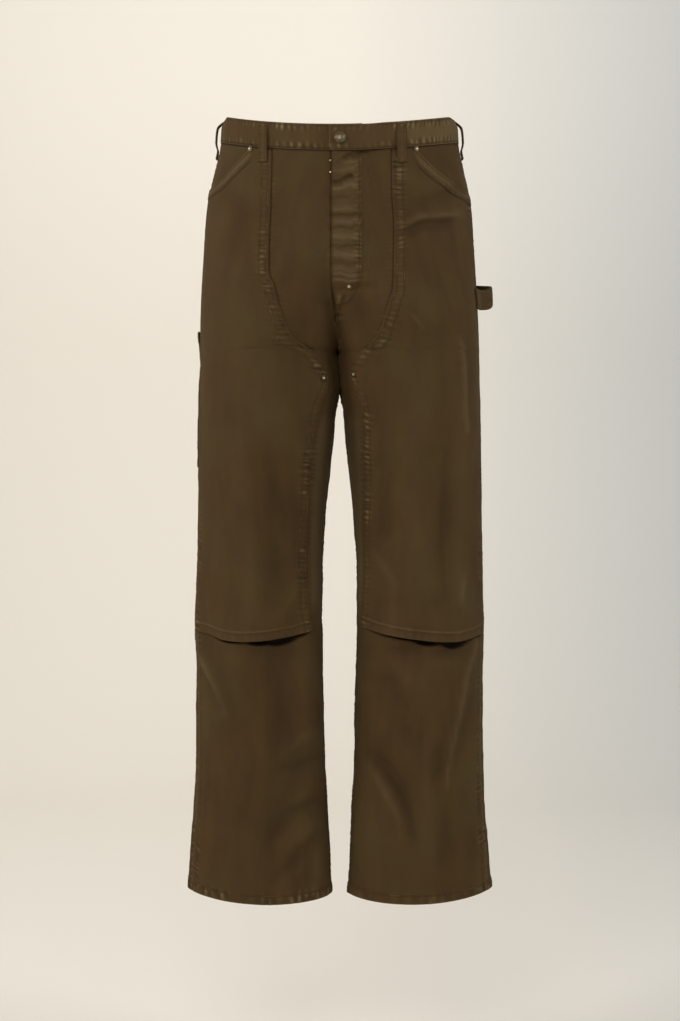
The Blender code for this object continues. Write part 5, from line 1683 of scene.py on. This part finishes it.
def cotton_thread():
    """Thick twisted cotton: matt, uneven in colour along the row, with its tops rubbed pale."""
    material, tree = new_material("rubbed_cotton_thread")
    place_on = add_node(tree, "ShaderNodeTexCoord").outputs["Object"]
    patches = add_node(tree, "ShaderNodeTexNoise", {"Vector": place_on, "Scale": 60.0, "Detail": 4.0,
                                                    "Roughness": 0.7}).outputs["Fac"]
    twist = add_node(tree, "ShaderNodeTexNoise", {"Vector": place_on, "Scale": 2500.0}).outputs["Fac"]
    pale = spread(tree, patches, 0.5, 0.7)
    bump = add_node(tree, "ShaderNodeBump", {"Height": twist, "Strength": 0.5, "Distance": 0.0001})
    shader = add_node(tree, "ShaderNodeBsdfPrincipled", {
        "Base Color": mixed(tree, pale, linear(THREAD_DYED), linear(THREAD_RUBBED)), "Roughness": 0.8,
        "IOR": 1.46, "Specular IOR Level": 0.3, "Normal": bump.outputs["Normal"],
    })
    add_node(tree, "ShaderNodeOutputMaterial", {"Surface": shader.outputs["BSDF"]})
    return material


def stitch_row(sheet, u, v, pitch=STITCH_PITCH, length=STITCH_LENGTH):
    """Points and faces of one row: sheet(u, v, lift) gives the cloth's face along the row's line."""
    line = sheet(u, v, 0.0)
    run = np.concatenate([[0.0], np.cumsum(np.linalg.norm(np.diff(line, axis=0), axis=1))]) / MM
    count = int(run[-1] / pitch)
    middles = (np.arange(count) + 0.5) * pitch
    rings = np.array(STITCH_RINGS)
    at = np.clip(middles[:, None] + rings[None, :, 0] * length, 0, run[-1])
    ring_u, ring_v = np.interp(at, run, u), np.interp(at, run, v)
    centre = sheet(ring_u, ring_v, rings[None, :, 1] + 0 * at)
    normal = sheet(ring_u, ring_v, rings[None, :, 1] + 1.0 + 0 * at) - centre
    normal = normal / np.linalg.norm(normal, axis=-1, keepdims=True)
    forward = centre[:, -1:] - centre[:, :1]
    beside = np.cross(forward, normal)
    beside = beside / np.linalg.norm(beside, axis=-1, keepdims=True)
    corner = 2 * math.pi * (np.arange(STITCH_SIDES) + 0.5) / STITCH_SIDES
    radius = THREAD_RADIUS * rings[:, 2, None, None] * MM
    points = centre[:, :, None] + radius * (np.cos(corner)[:, None] * beside[:, :, None]
                                            + np.sin(corner)[:, None] * normal[:, :, None])
    per_stitch = len(rings) * STITCH_SIDES
    index = np.arange(per_stitch).reshape(len(rings), STITCH_SIDES)
    following = np.roll(index, -1, axis=1)
    tube = np.stack([index[:-1], following[:-1], following[1:], index[1:]], axis=-1).reshape(-1, 4)
    ends = np.array([index[0, ::-1], index[-1]])
    one = np.concatenate([tube, ends])
    faces = (np.arange(count) * per_stitch)[:, None, None] + one[None]
    return points.reshape(-1, 3), faces.reshape(-1, 4)


def stitching(name, rows_of_stitches):
    """One object for all the rows of a seam."""
    points, faces, start = [], [], 0
    for row in rows_of_stitches:
        row_points, row_faces = stitch_row(*row)
        points.append(row_points)
        faces.append(row_faces + start)
        start += len(row_points)
    made = mesh_object(name, np.concatenate(points), np.concatenate(faces), thread)
    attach(made, "root")


thread = cotton_thread()


def on_double(side):
    """The outer face of a double front."""
    return lambda share, drop, lift: place(side, FRONT, share, drop, double_face(side, share, drop)[0] + lift)


def on_panel(side):
    """The outer face of a front panel."""
    return lambda share, drop, lift: place(side, FRONT, share, drop, front_face(side, share, drop)[0] + lift)


def on_back(side):
    """The outer face of a back panel."""
    return lambda share, drop, lift: place_back(side, share, drop, back_face(side, share, drop)[0] + lift)


def beside_edge(side, distance, drop):
    """Share of the way round at a distance from the double front's inner edge."""
    line, longer = edge_line(side, drop)
    return (line - distance * longer) / girth(FRONT, drop)


# Drops between which the rows of stitching run
TWIN_ROWS = (37.0, 686.0)
BACK_SIDE_ROWS = (38.0, 1032.0)
DOUBLE_SIDE_ROW = (112.0, 684.0)
PANEL_SIDE_ROW = (700.0, 1030.0)
INSIDE_LEG_ROWS = {RIGHT: (330.0, 1030.0), LEFT: (272.0, 1030.0)}
FLY_ROW = (37.0, 258.0)
OUTER_FLY_ROW = (37.0, 271.0)
SEAT_ROWS = (38.0, 316.0)

double_rows, seam_rows, leg_rows, hem_rows = [], [], [], []
for side in (RIGHT, LEFT):
    down = np.arange(*TWIN_ROWS, STITCH_STEP)
    for row in TWIN_EDGE_ROWS:
        double_rows.append((on_double(side), beside_edge(side, row, down), down))
    part = np.linspace(0.01, MOUTH_END - 0.02, 120)
    slope = np.gradient(curve(POCKET_MOUTH[side], part), part * MOUTH_WIDTH)
    for row in MOUTH_ROWS:
        mouth_drop = curve(POCKET_MOUTH[side], part) + row * np.sqrt(1 + slope ** 2)
        double_rows.append((on_double(side), share_at(side, part, mouth_drop), mouth_drop))
    part = np.linspace(0.01, 0.98, 160)
    knee_drop = KNEE_HEM_DROP + curve(KNEE_EDGE[side], part) - KNEE_HEM_ROW
    double_rows.append((on_double(side), share_at(side, part, knee_drop), knee_drop))
    down = np.arange(*BACK_SIDE_ROWS, STITCH_STEP)
    for row in FELL_ROWS:
        seam_rows.append((on_back(side), row / girth(FRONT, down) - SIDE_SEAM, down))
    for sheet, ends in ((on_double(side), DOUBLE_SIDE_ROW), (on_panel(side), PANEL_SIDE_ROW)):
        down = np.arange(*ends, STITCH_STEP)
        seam_rows.append((sheet, SIDE_SEAM + SIDE_ROW / girth(FRONT, down), down))
    down = np.arange(*INSIDE_LEG_ROWS[side], STITCH_STEP)
    for row in FELL_ROWS:
        leg_rows.append((on_panel(side), 1 - row / girth(FRONT, down), down))
    hem = HEM_DROP - HEM_ROW
    share = np.linspace(SIDE_SEAM + 0.01, 0.99, 200)
    hem_rows.append((on_panel(side), share, hem + 0 * share))
    share = np.linspace(0.01, 0.99, 200)
    hem_rows.append((on_back(side), share, hem + 0 * share))
stitching("stitching_double_fronts", double_rows)
stitching("stitching_side_seams", seam_rows)
stitching("stitching_inside_legs", leg_rows)
stitching("stitching_hems", hem_rows)


def on_placket(x_at, drop, lift):
    """The outer face of the fly placket, or of the panel beside it."""
    width = FLY_WIDTH * fly_bend(drop)
    face_lift = np.where(x_at < FLY_EDGE + width, fly_face(x_at, drop, width)[0], 0.0)
    return across(x_at, FRONT, drop, face_lift + lift)


def on_band(angle, drop, lift):
    """The outer face of the waistband."""
    return around(angle, drop, band_face(angle, drop)[0] + lift)


down = np.arange(*FLY_ROW, STITCH_STEP)
outer_down = np.arange(*OUTER_FLY_ROW, STITCH_STEP)
fly_rows = [(on_placket, FLY_EDGE + FLY_STITCH * fly_bend(down), down),
            (on_placket, FLY_EDGE + OUTER_FLY_STITCH * fly_bend(outer_down, *OUTER_FLY_ROUND), outer_down)]
for _, _, stud_drop in STUD_PLACES:
    for step_down in (-1.0, 1.0):
        out = np.linspace(2.5, 11.5, 20)
        fly_rows.append((on_placket, out, stud_drop + step_down + 0 * out, 3.0, 2.4))
stitching("stitching_fly", fly_rows)

turn_angles = np.linspace(BAND_FIRST + 0.9, BAND_LAST - 0.9, 700)
lap = np.linspace(2.5, BAND_HEIGHT - 2.5, 40)
stitching("stitching_waistband", [
    (on_band, turn_angles, BAND_TOP_ROW + 0 * turn_angles),
    (on_band, turn_angles, BAND_LOW_ROW + 0 * turn_angles),
    (on_band, BAND_FIRST + 2.5 / BAND_ROUND * 360 + 0 * lap, lap),
])
down = np.arange(*SEAT_ROWS, STITCH_STEP)
stitching("stitching_seat", [(on_back(LEFT), 1 - row / girth(BACK, down), down) for row in FELL_ROWS])


def on_loop(sheet, path):
    """The outer face of a belt loop."""
    first, last = path[0][0], path[-1][0]

    def face(beside, drop, lift):
        raise_by = strip_face(beside, drop - first, last - first, LOOP_WIDTH / 2, LOOP_STITCH, 1)[0]
        return sheet(beside, drop, curve(path, drop) + LOOP_CLOTH + raise_by + lift)
    return face


loop_rows = []
for _, sheet, path, _ in BELT_LOOPS:
    down = np.linspace(path[0][0] + 1.0, path[-1][0] - 1.0, 50)
    for row in (-LOOP_STITCH, LOOP_STITCH):
        loop_rows.append((on_loop(sheet, path), row + 0 * down, down, 2.9, 2.1))
    wide = np.linspace(-4.6, 4.6, 20)
    for tack in (2.0, 3.0, path[-1][0] - 3.2, path[-1][0] - 2.2):
        loop_rows.append((on_loop(sheet, path), wide, tack + 0 * wide, 1.5, 1.5))
stitching("stitching_belt_loops", loop_rows)


def on_hammer(step, beside, lift):
    """The outer face of the hammer loop."""
    raise_by = strip_face(beside, step * HAMMER_STEP, along.max(), HAMMER_WIDTH / 2, HAMMER_STITCH, 861)[0]
    return hammer_point(step, beside, HAMMER_CLOTH + raise_by + lift)


steps_along = np.linspace(0.1, len(HAMMER_WAY) - 1.1, 160)
stitching("stitching_hammer_loop", [(on_hammer, steps_along, row + 0 * steps_along)
                                    for row in (-HAMMER_STITCH, HAMMER_STITCH)])


def on_tool_pocket(run, drop, lift):
    """The outer face of the tool pocket."""
    return place(RIGHT, BACK, run / girth(BACK, drop), drop, pocket_face(run, drop)[0] + lift)


pocket_rows = []
for row in POCKET_ROWS:
    down = np.arange(TOOL_POCKET_TOP + 2, TOOL_POCKET_BOTTOM - row, STITCH_STEP)
    out = np.arange(row, TOOL_POCKET_WIDTH - row, STITCH_STEP)
    pocket_rows += [(on_tool_pocket, row + 0 * down, down),
                    (on_tool_pocket, TOOL_POCKET_WIDTH - row + 0 * down, down),
                    (on_tool_pocket, out, TOOL_POCKET_BOTTOM - row + 0 * out)]
out = np.arange(2.0, TOOL_POCKET_WIDTH - 2, STITCH_STEP)
pocket_rows.append((on_tool_pocket, out, TOOL_POCKET_TOP + POCKET_TOP_ROW + 0 * out))
stitching("stitching_tool_pocket", pocket_rows)
